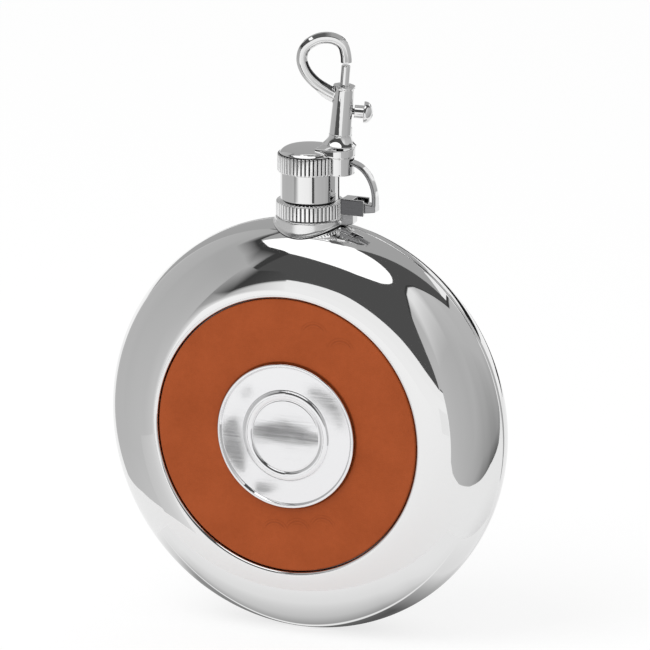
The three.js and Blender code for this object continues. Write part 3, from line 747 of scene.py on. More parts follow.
def medallion():
    bead_r, bead_half, bead_height = MEDALLION_BEAD
    rim_in = MEDALLION_R - MEDALLION_RIM_WIDTH
    field_out = bead_r - bead_half - MEDALLION_BEVEL
    rim = MEDALLION_RIM - LEATHER_FACE
    corners = [
        (0, MEDALLION_FIELD),
        (field_out, MEDALLION_FIELD, MEDALLION_ROUND),
        *arc((bead_r, MEDALLION_GROOVE), (bead_half, bead_height), 180, 0, 20),
        (bead_r + bead_half + MEDALLION_BEVEL, MEDALLION_GROOVE),
        (rim_in - MEDALLION_BEVEL, MEDALLION_GROOVE, MEDALLION_ROUND),
        (rim_in, rim, MEDALLION_RIM_ROUNDS[0]),
        (MEDALLION_R, rim, MEDALLION_RIM_ROUNDS[1]),
        (MEDALLION_R, 0),
        (0, 0),
    ]
    return lathe([(r, LEATHER_FACE + h) for r, h in rounded(corners)], FRONT, BODY_SEGMENTS)


def recess_gap_shade(radius, height, face):
    """The recess beside the leather, below the leather's rounded edge, painted dark as shade."""
    spot = face.center / MM
    ring = math.hypot(spot.x, spot.z - MIDDLE)
    return ring < RECESS_R + POLE and RECESS_FLOOR - POLE < -spot.y < LEATHER_FACE - LEATHER_ROUND


refinish(piece("front_shell", front_shell(), POLISHED), recess_gap_shade, DARK_SHADE_STEEL)
piece("back_shell", back_shell(), POLISHED)
piece("leather_ring", leather_ring(), LEATHER)
piece("medallion", medallion(), MEDALLION)


# Neck, liner and gasket
def thread_share(height, angle, start):
    """How far a point stands up a right-hand thread's flank, from 0 to 1."""
    turn = (height - start) / THREAD_PITCH - angle / TAU
    nearest = min(max(round(turn), 0), THREAD_TURNS - 1)
    return max(0.0, 1 - abs(turn - nearest) * THREAD_PITCH / (THREAD_WIDTH / 2))


def climb(radius, foot, top):
    """Closely spaced profile points up a wall that carries a thread."""
    return [(radius, foot + (top - foot) * i / THREAD_ROWS) for i in range(THREAD_ROWS + 1)]


def neck_tube():
    def shape(r, h, angle):
        return (r + THREAD_DEPTH * thread_share(h, angle, THREAD_START) if r >= NECK_R else r), h

    wall = climb(NECK_R, THREAD_START - 1, NECK_TOP - NECK_EASE)
    lip = [(NECK_R - NECK_EASE, NECK_TOP), (NECK_BORE_R, NECK_TOP)]
    return lathe([(NECK_BORE_R, NECK_FOOT), (NECK_R, NECK_FOOT), *wall, *lip], UP, SMALL_SEGMENTS, shape)


def cap_liner():
    start = THREAD_START + THREAD_PITCH / 2

    def shape(r, h, angle):
        inside = abs(r - LINER_BORE_R) < POLE
        return (r - LINER_THREAD_DEPTH * thread_share(h, angle, start) if inside else r), h

    bore = climb(LINER_BORE_R, GASKET_TOP, LINER_FOOT)
    return lathe([(0, GASKET_TOP), *bore, (LINER_R, LINER_FOOT), (LINER_R, LINER_TOP), (0, LINER_TOP)],
                 UP, SMALL_SEGMENTS, shape)


piece("neck_tube", neck_tube(), TURNED)
piece("cap_liner", cap_liner(), NYLON)
piece("cap_gasket", rod(GASKET_R, NECK_TOP, GASKET_TOP), SILICONE)


# Cap
def knurl(r, h, angle):
    """Sinks straight grooves into the two bands, fading out over their rounded edges."""
    band = LOWER_BAND_R if h < WAIST_FOOT + POLE else UPPER_BAND_R
    share = min(max((r - band + KNURL_FADE) / KNURL_FADE, 0.0), 1.0)
    groove = (0.5 + 0.5 * math.cos(angle * KNURL_TEETH)) ** KNURL_SHARPNESS
    return r - KNURL_DEPTH * share * groove, h


def cap_shell():
    corners = [
        (CAP_BORE_R, CAP_FOOT),
        (LOWER_BAND_R, CAP_FOOT, BAND_ROUND),
        (LOWER_BAND_R, WAIST_FOOT, BAND_ROUND),
        (WAIST_R - WAIST_GROOVE, WAIST_FOOT),
        (WAIST_R - WAIST_GROOVE, WAIST_FOOT + WAIST_GROOVE),
        (WAIST_R, WAIST_FOOT + WAIST_GROOVE, EDGE_ROUND),
        (WAIST_R, WAIST_FOOT + WAIST_GROOVE + WAIST_STRAIGHT),
        (WAIST_R, WEB_FOOT - WAIST_STRAIGHT),
        (WAIST_R, WEB_FOOT, WEB_ROUND),
        (UPPER_BAND_R, WEB_FOOT, BAND_ROUND),
        (UPPER_BAND_R, CAP_TOP, BAND_ROUND),
        (CAP_BORE_R, CAP_TOP),
        (CAP_BORE_R, WEB_TOP),
        (RIVET_BORE_R, WEB_TOP),
        (RIVET_BORE_R, WEB_FOOT),
        (CAP_BORE_R, WEB_FOOT),
    ]
    return lathe(rounded(corners, closed=True), UP, KNURL_TEETH * KNURL_STEPS, knurl)


def cap_recess_shade(radius, height, face):
    """The knurl's grooves, the groove at the waist's foot and the ledge under the dome, painted nearly black
    as shade.
    """
    if height > CAP_TOP - POLE:
        return radius < DOME_R + DOME_LEDGE
    if WAIST_FOOT - POLE < height < WAIST_FOOT + WAIST_GROOVE:
        return radius < WAIST_R
    if height < WAIST_FOOT - BAND_ROUND:
        return height > CAP_FOOT + POLE and WAIST_R < radius < LOWER_BAND_R - KNURL_DARK
    return height > WEB_FOOT + BAND_ROUND and WAIST_R < radius < UPPER_BAND_R - KNURL_DARK


def knurl_teeth_highlight(radius, height, face):
    """The tops and flanks of the knurl's teeth on both bands, painted brighter as highlight."""
    if height < WAIST_FOOT - BAND_ROUND:
        return radius >= LOWER_BAND_R - KNURL_DARK
    return WEB_FOOT + BAND_ROUND < height < CAP_TOP - BAND_ROUND and radius >= UPPER_BAND_R - KNURL_DARK


cap = piece("cap_shell", cap_shell(), POLISHED)
refinish(cap, cap_recess_shade, BLACK_SHADE_STEEL)
refinish(cap, knurl_teeth_highlight, KNURL_HIGHLIGHT_STEEL)


# Crown with its lug, cast in one
def knuckle_plan():
    """The part of the lug's round end that stands outside the turning cap."""
    reach = (LUG_X ** 2 + KNUCKLE_START ** 2 - KNUCKLE_R ** 2) / (2 * LUG_X)
    half = math.degrees(math.acos(reach / KNUCKLE_START))
    outer = math.degrees(math.acos((reach - LUG_X) / KNUCKLE_R))
    inner = arc((0, 0), (KNUCKLE_START, KNUCKLE_START), half, -half, ARC_STEPS)
    return [*arc((LUG_X, 0), (KNUCKLE_R, KNUCKLE_R), -outer, outer, LUG_STEPS), *inner[1:-1]]


def cap_crown():
    stem_foot = WEB_TOP + FIT_GAP
    stem = [(0, stem_foot), (CROWN_STEM_R, stem_foot), (CROWN_STEM_R, CROWN_BASE)]
    top = CROWN_TOP - DOME_DROP
    end, start = DOME_ARC
    shoulder_r = DOME_FLAT_R - DOME_SHOULDER * math.cos(math.radians(start))
    shoulder_z = top - DOME_CROWN - DOME_SHOULDER * math.sin(math.radians(start))
    shoulder = arc((shoulder_r, shoulder_z), (DOME_SHOULDER, DOME_SHOULDER), end, start, ARC_STEPS)
    lug = [(LUG_ROOT_X, -LUG_R), *arc((LUG_X, 0), (LUG_R, LUG_R), -90, 90, LUG_STEPS), (LUG_ROOT_X, LUG_R)]
    shares = [i / 12 for i in range(11, -1, -1)]
    crown = [(DOME_FLAT_R * share, top - DOME_CROWN * share * share) for share in shares]
    forms = [
        lathe([*stem, (shoulder[0][0], CROWN_BASE), *shoulder, *crown]),
        plate(lug, CROWN_BASE, LUG_TOP),
        plate(knuckle_plan(), KNUCKLE_FOOT, KNUCKLE_HEAD),
    ]
    slot_half = ARM_THICKNESS / 2 + ARM_SLOT_PLAY
    slot = block((KNUCKLE_START - CUT_MARGIN, -CHANNEL_HALF, ARM_TOP - slot_half),
                 (LUG_X + LUG_R + CUT_MARGIN, CHANNEL_HALF, min(ARM_TOP + slot_half, CROWN_BASE)))
    return cast(forms, [slot])


piece("cap_crown", cap_crown(), POLISHED, flat_faces=False)


# Collar with its forked bracket
def collar_seat(r, h, angle):
    """Lets the foot of the collar and its lip follow the body."""
    if h > COLLAR_LIP:
        return r, h
    return r, body_height(r * math.cos(angle), r * math.sin(angle)) + COLLAR_SEAT + h


def hinge_collar():
    lip_r = COLLAR_R + COLLAR_LIP_OUT
    lip = [(COLLAR_BORE_R, 0), (lip_r, 0), (lip_r, COLLAR_LIP / 2), (COLLAR_R, COLLAR_LIP)]
    wall = rounded([(COLLAR_R, 0), (COLLAR_R, COLLAR_TOP, COLLAR_ROUND), (COLLAR_BORE_R, COLLAR_TOP)])
    ring = [*lip, *wall[1:]]
    gusset = []
    for i in range(GUSSET_STEPS + 1):
        share = i / GUSSET_STEPS
        near = (1 - share) ** 2
        out = near * BRACKET_START + (1 - near) * GUSSET_END
        gusset.append((out, GUSSET_FOOT + share * share * (BRACKET_FOOT - GUSSET_FOOT)))
    outline = [
        (GUSSET_ROOT, GUSSET_FOOT), *gusset, (BRACKET_START, BRACKET_FOOT),
        (BRACKET_START, COLLAR_TOP), (GUSSET_ROOT, COLLAR_TOP),
    ]
    forms = [
        lathe(ring, UP, SEGMENTS, collar_seat),
        plate(outline, -GUSSET_HALF, GUSSET_HALF, side=True),
        block((BRACKET_START, -BRACKET_HALF, BRACKET_LOW), (BRACKET_END, BRACKET_HALF, BRACKET_TOP)),
    ]
    channel = block((CHANNEL_START, -CHANNEL_HALF, CHANNEL_FOOT),
                    (BRACKET_END + CUT_MARGIN, CHANNEL_HALF, BRACKET_TOP + CUT_MARGIN))
    reach = PIN_R + FIT_GAP
    end = PIN_HALF + FIT_GAP / 2
    slots = block((PIN_X - reach, -end, PIN_Z - reach), (PIN_X + reach, end, PIN_Z + PIN_LIFT + reach))
    return cast(forms, [channel, slots])


# Arm: a strap bent over from the lug to the hinge's eye
def captive_arm():
    half = ARM_THICKNESS / 2
    bend = arc((ARM_BEND_X, ARM_BEND_Z), (ARM_X - ARM_BEND_X, ARM_TOP - ARM_BEND_Z), 90, 0, BEND_STEPS)
    route = [(ARM_END_X, ARM_TOP), *bend, (ARM_X, PIN_Z - ARM_FOOT + half)]
    points = [UP @ Vector((x, 0, z)) for x, z in route]
    width = ARM_HALF_WIDTH
    corners = [(half, -width), (half, width), (-half, width), (-half, -width)]
    section = rounded([(*corner, ARM_ROUND) for corner in corners], closed=True)
    foot = [
        (PIN_X, PIN_Z - ARM_EYE_R), (ARM_X + half, PIN_Z - ARM_FOOT),
        (ARM_X + half, PIN_Z + ARM_FOOT), (PIN_X, PIN_Z + ARM_EYE_R),
    ]
    forms = [
        sweep(along(points, Matrix()), section),
        plate(foot, -width, width, side=True),
        rod(ARM_EYE_R, -width, width, PIN),
    ]
    return cast(forms, [rod(PIN_R + FIT_GAP, -width - CUT_MARGIN, width + CUT_MARGIN, PIN)])


def bracket_side(radius, face):
    """Whether a face is a side of the bracket or of the gusset under it."""
    return abs(face.normal.y) > SIDE_FACING and radius > BRACKET_START


# The gusset's side faces, painted darker as shade
def gusset_cheek_shade(radius, height, face):
    return bracket_side(radius, face) and height < BRACKET_LOW


# The bracket's side faces, painted dark as shade
def bracket_cheek_shade(radius, height, face):
    return bracket_side(radius, face) and height > BRACKET_LOW


def collar_wall(radius, height, face):
    return COLLAR_BORE_R + FIT_GAP < radius < BRACKET_START


def collar_foot_shade(radius, height, face):
    """The collar's foot close to the body, painted nearly black as contact shadow."""
    if bracket_side(radius, face):
        return False
    spot = face.center / MM
    return abs(spot.y) < HALF_DEPTH and height < body_height(spot.x, spot.y) + COLLAR_SEAT + COLLAR_LIP / 3


def arm_side_shade(radius, height, face):
    """The strap's stamped sides, and its inner face towards the cap, painted darker as shade."""
    return abs(face.normal.y) > ARM_SIDE_FACING or face.normal.x + face.normal.z < -ARM_INNER_FACING


collar = piece("hinge_collar", hinge_collar(), POLISHED, flat_faces=False)
refinish(collar, collar_wall, SATIN)
refinish(collar, bracket_cheek_shade, DARK_SHADE_STEEL)
refinish(collar, collar_foot_shade, BLACK_SHADE_STEEL)
refinish(collar, gusset_cheek_shade, STAMPED_SHADE_STEEL)
arm = piece("captive_arm", captive_arm(), POLISHED, flat_faces=False)
refinish(arm, arm_side_shade, STAMPED_SHADE_STEEL)
piece("hinge_pin", rod(PIN_R, -PIN_HALF, PIN_HALF, PIN), TURNED)
piece("arm_pin", rod(ARM_PIN_R, KNUCKLE_FOOT, LUG_TOP - ARM_PIN_COVER, ARM_PIN), TURNED)


# Spring hook
def swivel_post():
    head = BELL_FLOOR + FIT_GAP
    profile = [
        (0, -POST_SEAT), (POST_R, -POST_SEAT), (POST_R, head), (POST_HEAD_R, head, EDGE_ROUND),
        (POST_HEAD_R, POST_TOP, EDGE_ROUND), (0, POST_TOP),
    ]
    return lathe(rounded(profile), HOOK, SMALL_SEGMENTS)


def swivel_bell():
    flare = []
    for i in range(EDGE_STEPS + 1):
        share = i / EDGE_STEPS
        radius = BARREL_FOOT_R + (BELL_R - BARREL_FOOT_R) * (1 - share) ** 2
        flare.append((radius, BELL_FOOT + BELL_RIM + (BELL_TOP - BELL_FOOT - BELL_RIM) * share))
    bore = POST_R + FIT_GAP
    foot = [(bore, BELL_FOOT), (BELL_R - BELL_CHAMFER, BELL_FOOT), (BELL_R, BELL_FOOT + EDGE_ROUND)]
    cavity = [(BELL_CAVITY_R, BELL_TOP), (BELL_CAVITY_R, BELL_FLOOR), (bore, BELL_FLOOR)]
    return lathe([*foot, *flare, *cavity], HOOK, SMALL_SEGMENTS)


def loop_points():
    """The bar's route: a smooth curve through its points, in the hook's own upright plane."""
    route = [Vector((x, 0, BARREL_TOP + z)) for x, z in LOOP_ROUTE] + [Vector((0, 0, HOOK_TIP))]
    points = []
    for i in range(len(route) - 1):
        start, end = route[i], route[i + 1]
        lead = (end - route[max(i - 1, 0)]) / 6
        tail = (route[min(i + 2, len(route) - 1)] - start) / 6
        points.extend(interpolate_bezier(start, start + lead, end - tail, end, 9)[:-1])
    return [*points, route[-1]]


def hook_body():
    half = LOOP_BAR / 2
    flat = half - LOOP_BEVEL
    corners = [
        (half, -flat), (half, flat), (flat, half), (-flat, half),
        (-half, flat), (-half, -flat), (-flat, -half), (flat, -half),
    ]
    section = rounded([(*corner, EDGE_ROUND) for corner in corners], closed=True, steps=2)
    rim_foot = BARREL_TOP - 0.5
    barrel = [
        (0, SPIGOT_FOOT), (SPIGOT_R, SPIGOT_FOOT), (SPIGOT_R, BELL_TOP), (BARREL_FOOT_R, BELL_TOP),
        (BARREL_NECK_R, rim_foot - 0.25), (BARREL_RIM_R, rim_foot),
        (BARREL_RIM_R, BARREL_TOP), (0, BARREL_TOP),
    ]
    inner, outer = LOOP_ROUTE[2], LOOP_ROUTE[3]
    root = -BARREL_NECK_R + 0.3
    knots = [(root, HOOK_WEB_FOOT), *HOOK_WEB_BULGE, outer]
    curve = interpolate_bezier(*[Vector((x, BARREL_TOP + z)) for x, z in knots], 12)
    web = [*[tuple(p) for p in curve], (inner[0], BARREL_TOP + inner[1]), (root, BARREL_TOP + HOOK_WEB_HEAD)]
    forms = [
        lathe(barrel, HOOK, SMALL_SEGMENTS),
        sweep(along(loop_points(), HOOK), section),
        plate(web, -HOOK_WEB_HALF, HOOK_WEB_HALF, HOOK, side=True),
    ]
    slot = block((0, -KNOB_SLOT_HALF, KNOB_HEIGHT - BOLT_TRAVEL - KNOB_SLOT_HALF),
                 (BELL_R, KNOB_SLOT_HALF, KNOB_HEIGHT + KNOB_SLOT_HALF), HOOK)
    bore = rod(BARREL_BORE_R, SPRING_FOOT, LID_FOOT, HOOK)
    lid_hole = rod(LID_HOLE_R, LID_FOOT - CUT_MARGIN / 2, BARREL_TOP + CUT_MARGIN, HOOK)
    return cast(forms, [bore, lid_hole, slot])


def bolt_plunger():
    foot, top = PISTON
    profile = [
        (0, foot), (PISTON_R, foot, EDGE_ROUND), (PISTON_R, top, EDGE_ROUND),
        (BOLT_R, top), (BOLT_R, BOLT_TOP, 0.3), (0, BOLT_TOP),
    ]
    return lathe(rounded(profile), HOOK, SMALL_SEGMENTS)


def thumb_knob():
    neck_r, stem_r, head_r = 0.7, 1.5, 2.45
    stem_foot, head_foot, head_top, rim = BARREL_FOOT_R + FIT_GAP, 4.8, 6.9, 0.35
    profile = [
        (0, 0), (neck_r, 0), (neck_r, stem_foot), (stem_r, stem_foot, 0.1), (stem_r, head_foot, 0.15),
        (head_r, head_foot, 0.15), (head_r, head_foot + rim),
    ]
    crown = arc((0, head_foot + rim), (head_r, head_top - head_foot - rim), 0, 90, ARC_STEPS)
    return lathe([*rounded(profile), *crown[1:-1], (0, head_top)], KNOB, SMALL_SEGMENTS)


def bolt_spring():
    foot, top = SPRING_FOOT + SPRING_SEAT, PISTON[0] - SPRING_SEAT
    steps = SPRING_TURNS * SPRING_STEPS
    turn = HOOK.to_3x3()
    stations = []
    for i in range(steps + 1):
        angle = SPRING_TURNS * TAU * i / steps
        out = Vector((math.cos(angle), math.sin(angle), 0))
        middle = out * SPRING_R + Vector((0, 0, foot + (top - foot) * i / steps))
        stations.append((HOOK @ middle, turn @ out, turn @ Vector((0, 0, 1))))
    return sweep(stations, arc((0, 0), (SPRING_WIRE_R, SPRING_WIRE_R), 0, 330, 11))


def loop_crook_shade(radius, height, face):
    """The inner side of the loop's lower half, beside the barrel, painted nearly black as shade."""
    spot = FROM_HOOK @ (face.center / MM)
    if spot.x > -BARREL_RIM_R or spot.z > LOOP_MIDDLE.z:
        return False
    return (LOOP_MIDDLE - spot).normalized().dot(FROM_HOOK.to_3x3() @ face.normal) > CROOK_FACING


piece("swivel_post", swivel_post(), TURNED)
piece("swivel_bell", swivel_bell(), POLISHED)
hook = piece("hook_body", hook_body(), POLISHED, flat_faces=False)
refinish(hook, loop_crook_shade, BLACK_SHADE_STEEL)
piece("bolt_plunger", bolt_plunger(), POLISHED)
piece("thumb_knob", thumb_knob(), POLISHED)
spring = piece("bolt_spring", bolt_spring(), TURNED, flat_faces=False)
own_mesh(spring)

# Sealed inner pieces keep their CAD shape
for node, material in (("cap_rivet", TURNED), ("rivet_washer", TURNED), ("medallion_pad", ADHESIVE)):
    mesh = frame["nodes"][node].data
    mesh.materials.clear()
    mesh.materials.append(material)

# Camera: a long lens, from the photograph's side and height
CAMERA_AZIMUTH = math.radians(23.6)
CAMERA_ELEVATION = math.radians(14.9)
CAMERA_DISTANCE = 6.0
VIEW_WIDTH = 0.14656
SENSOR = 36.0
AIM_RIGHT = 0.00338
AIM_UP = 0.02176
CAMERA_REACH = 50
BESIDE = Vector((math.cos(CAMERA_AZIMUTH), math.sin(CAMERA_AZIMUTH), 0))


def toward(azimuth, elevation):
    """A unit vector from the flask: azimuth 0 is the front, positive to its right."""
    flat = math.cos(elevation)
    return Vector((math.sin(azimuth) * flat, -math.cos(azimuth) * flat, math.sin(elevation)))


def aimed(name, data, aim, back, distance):
    """A camera or lamp that looks at a point from a distance."""
    obj = add_object(name, data)
    obj.location = aim + back * distance
    obj.rotation_mode = "QUATERNION"
    obj.rotation_quaternion = (-back).to_track_quat("-Z", "Y")
    return obj


def make_camera():
    data = bpy.data.cameras.new("camera")
    data.sensor_width = SENSOR
    data.lens = SENSOR * CAMERA_DISTANCE / VIEW_WIDTH
    data.clip_end = CAMERA_REACH
    back = toward(CAMERA_AZIMUTH, CAMERA_ELEVATION)
    aim = CENTRE + BESIDE * AIM_RIGHT + back.cross(BESIDE) * AIM_UP
    camera = aimed("camera", data, aim, back, CAMERA_DISTANCE)
    bpy.context.scene.camera = camera
    return camera.location / MM


camera_place = make_camera()


# Studio: white surroundings, a pale floor and a soft lamp
def shown_share(tree):
    """1 for the rays that show the surroundings: seen directly, mirrored or through glass."""
    path = add(tree, "LightPath", {})
    share = path.outputs["Is Camera Ray"]
    for ray in ("Is Glossy Ray", "Is Transmission Ray"):
        share = combine(tree, "MAXIMUM", share, path.outputs[ray])
    return share


AMBIENT = 0.72


def make_world():
    world = bpy.data.worlds.new("studio")
    world.use_nodes = True
    tree = world.node_tree
    tree.nodes["Background"].inputs["Color"].default_value = (1, 1, 1, 1)
    strength = spread(tree, shown_share(tree), 0.0, 1.0, AMBIENT, 1.0)
    tree.links.new(strength, tree.nodes["Background"].inputs["Strength"])
    bpy.context.scene.world = world


FLOOR_HALF = 12.0
FLOOR_SHADOW = 0.28
FLOOR_MIRRORED_SHADOW = 0.85
FLOOR_PALE = 0.85
OPEN_LIGHT = 0.89
MIRRORED_LEVEL = 0.94


def white_floor(tree, shadow, level):
    """Pale ground of a given level in the open, of which a share takes light and shadow."""
    catcher = add(tree, "BsdfDiffuse", {"Color": (shadow, shadow, shadow, 1)}).outputs[0]
    glow = add(tree, "Emission", {"Strength": level - shadow * OPEN_LIGHT}).outputs[0]
    return add(tree, "AddShader", {0: catcher, 1: glow}).outputs[0]


def bare_material(name):
    """A material with no shader yet, its node tree and the socket of its surface."""
    material = bpy.data.materials.new(name)
    material.use_nodes = True
    tree = material.node_tree
    tree.nodes.remove(tree.nodes["Principled BSDF"])
    return material, tree, tree.nodes["Material Output"].inputs["Surface"]


def make_floor():
    material, tree, surface = bare_material("floor")
    lit = add(tree, "BsdfDiffuse", {"Color": (FLOOR_PALE, FLOOR_PALE, FLOOR_PALE, 1)}).outputs[0]
    path = add(tree, "LightPath", {})
    seen = white_floor(tree, FLOOR_SHADOW, 1.0)
    mirrored = white_floor(tree, FLOOR_MIRRORED_SHADOW, MIRRORED_LEVEL)
    shown = add(tree, "MixShader", {0: path.outputs["Is Glossy Ray"], 1: seen, 2: mirrored}).outputs[0]
    both = add(tree, "MixShader", {0: shown_share(tree), 1: lit, 2: shown}).outputs[0]
    tree.links.new(both, surface)
    mesh = bpy.data.meshes.new("floor")
    half = FLOOR_HALF
    corners = [(-half, -half, 0), (half, -half, 0), (half, half, 0), (-half, half, 0)]
    mesh.from_pydata(corners, [], [(0, 1, 2, 3)])
    mesh.materials.append(material)
    floor = add_object("floor", mesh)


LAMP_AZIMUTH = math.radians(-35)
LAMP_ELEVATION = math.radians(55)
LAMP_DISTANCE = 1.2
LAMP_SIZE = 0.7
LAMP_WATTS = 4.5


def make_lamp():
    data = bpy.data.lights.new("soft_lamp", "AREA")
    data.energy = LAMP_WATTS
    data.size = LAMP_SIZE
    lamp = aimed("soft_lamp", data, CENTRE, toward(LAMP_AZIMUTH, LAMP_ELEVATION), LAMP_DISTANCE)
    lamp.visible_glossy = False


make_world()
make_floor()
make_lamp()

# Surroundings that only mirrors see: a dark room with a bright ceiling, far off
CEILING_EDGE = [
    (-180, 87), (-112, 87), (-104, 56), (-100, 52), (-70, 48.5), (-40, 47), (-20, 48.5), (0, 53), (20, 60),
    (40, 69), (55, 77), (70, 84), (90, 87), (180, 87),
]
ROOM_FOOT = [(-100, 30), (-62, 10), (-45, 9), (-35, 12), (-20, 9), (-10, 5), (0, 3), (118, 3)]
REAR_FOOT = [(118, 38), (130, 37), (141, 34), (150, 22), (160, 14), (174, 3), (256, 3)]
REAR_HEAD = [(118, 87), (256, 87)]
REAR_SHADE = 0.42
SKIRTING_FOOT = [(136, 8), (150, 4), (174, 0)]
SKIRTING_HEAD = [(136, 15), (150, 12), (174, 7)]
SKIRTING_SHADE = 0.015
CEILING_SHADE = 1.35
ROOM_SHADE = 0.085
FAR = 2.4
ROOM_DISTANCE = FAR - 0.1
REAR_DISTANCE = FAR - 0.2
BOARD_STEP = 2
SHADE = "shade"
BOARD_GREY = 0.53
BOARD_DARK = 0.05
BOARD_FADE = 22


def between(edge, azimuth):
    """Elevation of an edge at an azimuth, along straight runs between its points."""
    for (a0, e0), (a1, e1) in zip(edge, edge[1:]):
        if a0 <= azimuth <= a1:
            return e0 + (e1 - e0) * (azimuth - a0) / (a1 - a0)
    return edge[-1][1]


def mirror_material():
    material, tree, surface = bare_material("mirrored_board")
    shade = add(tree, "Attribute", {}, attribute_name=SHADE).outputs["Fac"]
    tree.links.new(add(tree, "Emission", {"Strength": shade}).outputs[0], surface)
    material.cycles.emission_sampling = "NONE"
    return material


MIRRORED = mirror_material()


def board(name, columns):
    """A sheet through columns of (point, shade), which mirrors alone see."""
    rows = len(columns[0])
    vertices = [point for column in columns for point, shade in column]
    shades = [shade for column in columns for point, shade in column]
    faces = []
    for i in range(len(columns) - 1):
        for j in range(rows - 1):
            a = i * rows + j
            faces.append((a, a + rows, a + rows + 1, a + 1))
    mesh = bpy.data.meshes.new(name)
    mesh.from_pydata(vertices, [], faces)
    mesh.attributes.new(SHADE, "FLOAT", "POINT").data.foreach_set("value", shades)
    mesh.materials.append(MIRRORED)
    obj = add_object(name, mesh)
    for ray in ("camera", "diffuse", "transmission", "volume_scatter", "shadow"):
        setattr(obj, "visible_" + ray, False)


def far_board(name, distance, start, end, foot, head, shade):
    """A far sheet between two edges of (azimuth from the camera, elevation)."""
    columns = []
    for azimuth in range(start, end + 1, BOARD_STEP):
        turn = CAMERA_AZIMUTH + math.radians(azimuth)
        ways = [toward(turn, math.radians(between(edge, azimuth))) for edge in (foot, head)]
        columns.append([(CENTRE + way * distance, shade) for way in ways])
    board(name, columns)


def table_point(right, forward, height):
    """A point over the table, beside and in front of the flask as the camera sees it."""
    return (BESIDE * right + toward(CAMERA_AZIMUTH, 0) * forward + Vector((0, 0, height))) * MM


def table_board(name, columns):
    """A sheet through columns of (right, forward, height, shade) over the table."""
    board(name, [[(table_point(*place), shade) for *place, shade in column] for column in columns])


def upright_board(name, stations):
    """A near grey sheet with a dark upper edge, through stations along the table.

    A station is its place (right, forward), its heights (foot, edge, dark edge, top) and its shades
    (foot, middle, head).
    """
    columns = []
    for (right, forward), (foot, edge, dark, top), (low, grey, high) in stations:
        rows = [
            (foot, low), (foot + BOARD_FADE, (low + grey) / 2), ((foot + edge) / 2, grey),
            (edge - BOARD_FADE, high), (edge, high), (dark, BOARD_DARK), (top, BOARD_DARK),
        ]
        columns.append([(right, forward, *row) for row in rows])
    table_board(name, columns)


far_board("ceiling", FAR, -180, 180, CEILING_EDGE, [(-180, 90), (180, 90)], CEILING_SHADE)
far_board("dark_room", ROOM_DISTANCE, -100, 118, ROOM_FOOT, CEILING_EDGE, ROOM_SHADE)
far_board("rear_wall", REAR_DISTANCE, 118, 256, REAR_FOOT, REAR_HEAD, REAR_SHADE)
far_board("skirting", REAR_DISTANCE, 136, 174, SKIRTING_FOOT, SKIRTING_HEAD, SKIRTING_SHADE)

# Two grey reflector boards beside the flask, curved, with dark upper edges
upright_board("left_board", [
    ((-122, 80), (0, 60, 75, 238), (0.92, 0.9, 0.88)),
    ((-95, 48), (0, 130, 185, 205), (0.78, 0.56, 0.48)),
    ((-80, 18), (0, 140, 165, 178), (0.66, 0.54, 0.46)),
    ((-88, -20), (0, 160, 190, 200), (0.6, 0.52, 0.46)),
    ((-88, -60), (0, 240, 260, 265), (0.56, 0.52, 0.48)),
    ((-100, -105), (20, 300, 320, 325), (0.6, 0.52, 0.48)),
    ((-125, -160), (90, 330, 350, 355), (0.9, 0.52, 0.48)),
    ((-170, -240), (160, 420, 440, 445), (0.8, 0.52, 0.48)),
])
upright_board("right_board", [
    ((34, 400), (75, 172, 176, 184), (0.55, 0.55, 0.55)),
    ((38, 250), (75, 173, 177, 185), (0.55, 0.55, 0.55)),
    ((42.5, 182), (70, 176, 180, 188), (0.55, 0.55, 0.55)),
    ((44.5, 165), (0, 177, 181, 189), (0.58, 0.56, 0.55)),
    ((50, 130), (0, 177, 181, 189), (0.58, 0.55, 0.55)),
    ((65, 97), (0, 204, 208, 216), (0.55, 0.52, 0.9)),
    ((85, 73), (0, 229, 233, 241), (0.48, 0.5, 0.9)),
    ((110, 52), (0, 244, 248, 256), (0.25, BOARD_GREY, 0.6)),
    ((150, 27), (0, 255, 259, 267), (0.12, BOARD_GREY, 0.6)),
    ((178, 0), (0, 247, 251, 259), (0.1, BOARD_GREY, 0.55)),
    ((200, -40), (5, 207, 211, 219), (0.2, BOARD_GREY, 0.55)),
    ((230, -110), (42, 225, 229, 237), (0.4, BOARD_GREY, 0.55)),
    ((260, -200), (70, 235, 239, 247), (0.45, 0.55, 0.6)),
])


def small_sheet(name, *edges):
    """A small sheet through upright edges, each a (right, forward) place and its (height, shade) rows."""
    table_board(name, [[(*place, *row) for row in rows] for place, rows in edges])


BLACK = 0.015
POST_ROWS = [(91.2, ROOM_SHADE), (98.4, ROOM_SHADE)]
REAR_ROWS = [(14, BLACK), (37, BLACK)]
LUG_ROWS = [(96.5, ROOM_SHADE), (100, ROOM_SHADE)]
SCREEN_ROWS = [(0, MIRRORED_LEVEL), (36, MIRRORED_LEVEL)]
small_sheet("waist_post", ((4.3, 35.4), POST_ROWS), ((9.4, 34.3), POST_ROWS))
small_sheet("rear_post", ((165, -215), REAR_ROWS), ((70, -255), REAR_ROWS))
small_sheet("lug_card", ((-37, 37), LUG_ROWS), ((-28, 42), LUG_ROWS))
small_sheet("strip_screen", ((-8, 300), SCREEN_ROWS), ((48, 300), SCREEN_ROWS))
small_sheet("board_clamp", ((-100, 101), [(64, 0.98), (94, 0.98), (102, ROOM_SHADE), (130, ROOM_SHADE)]),
            ((-117, 82), [(58, 0.9), (66, 0.5), (76, 0.05), (130, 0.05)]),
            ((-92, 46), [(58, 0.58), (70, 0.4), (84, 0.3), (130, 0.5)]))
small_sheet("board_foot", ((-73, 39), [(0, 0.86), (30, 0.86)]), ((-76, 26), [(0, 0.74), (30, 0.7)]),
            ((-79, 10), [(0, 0.68), (30, 0.62)]))

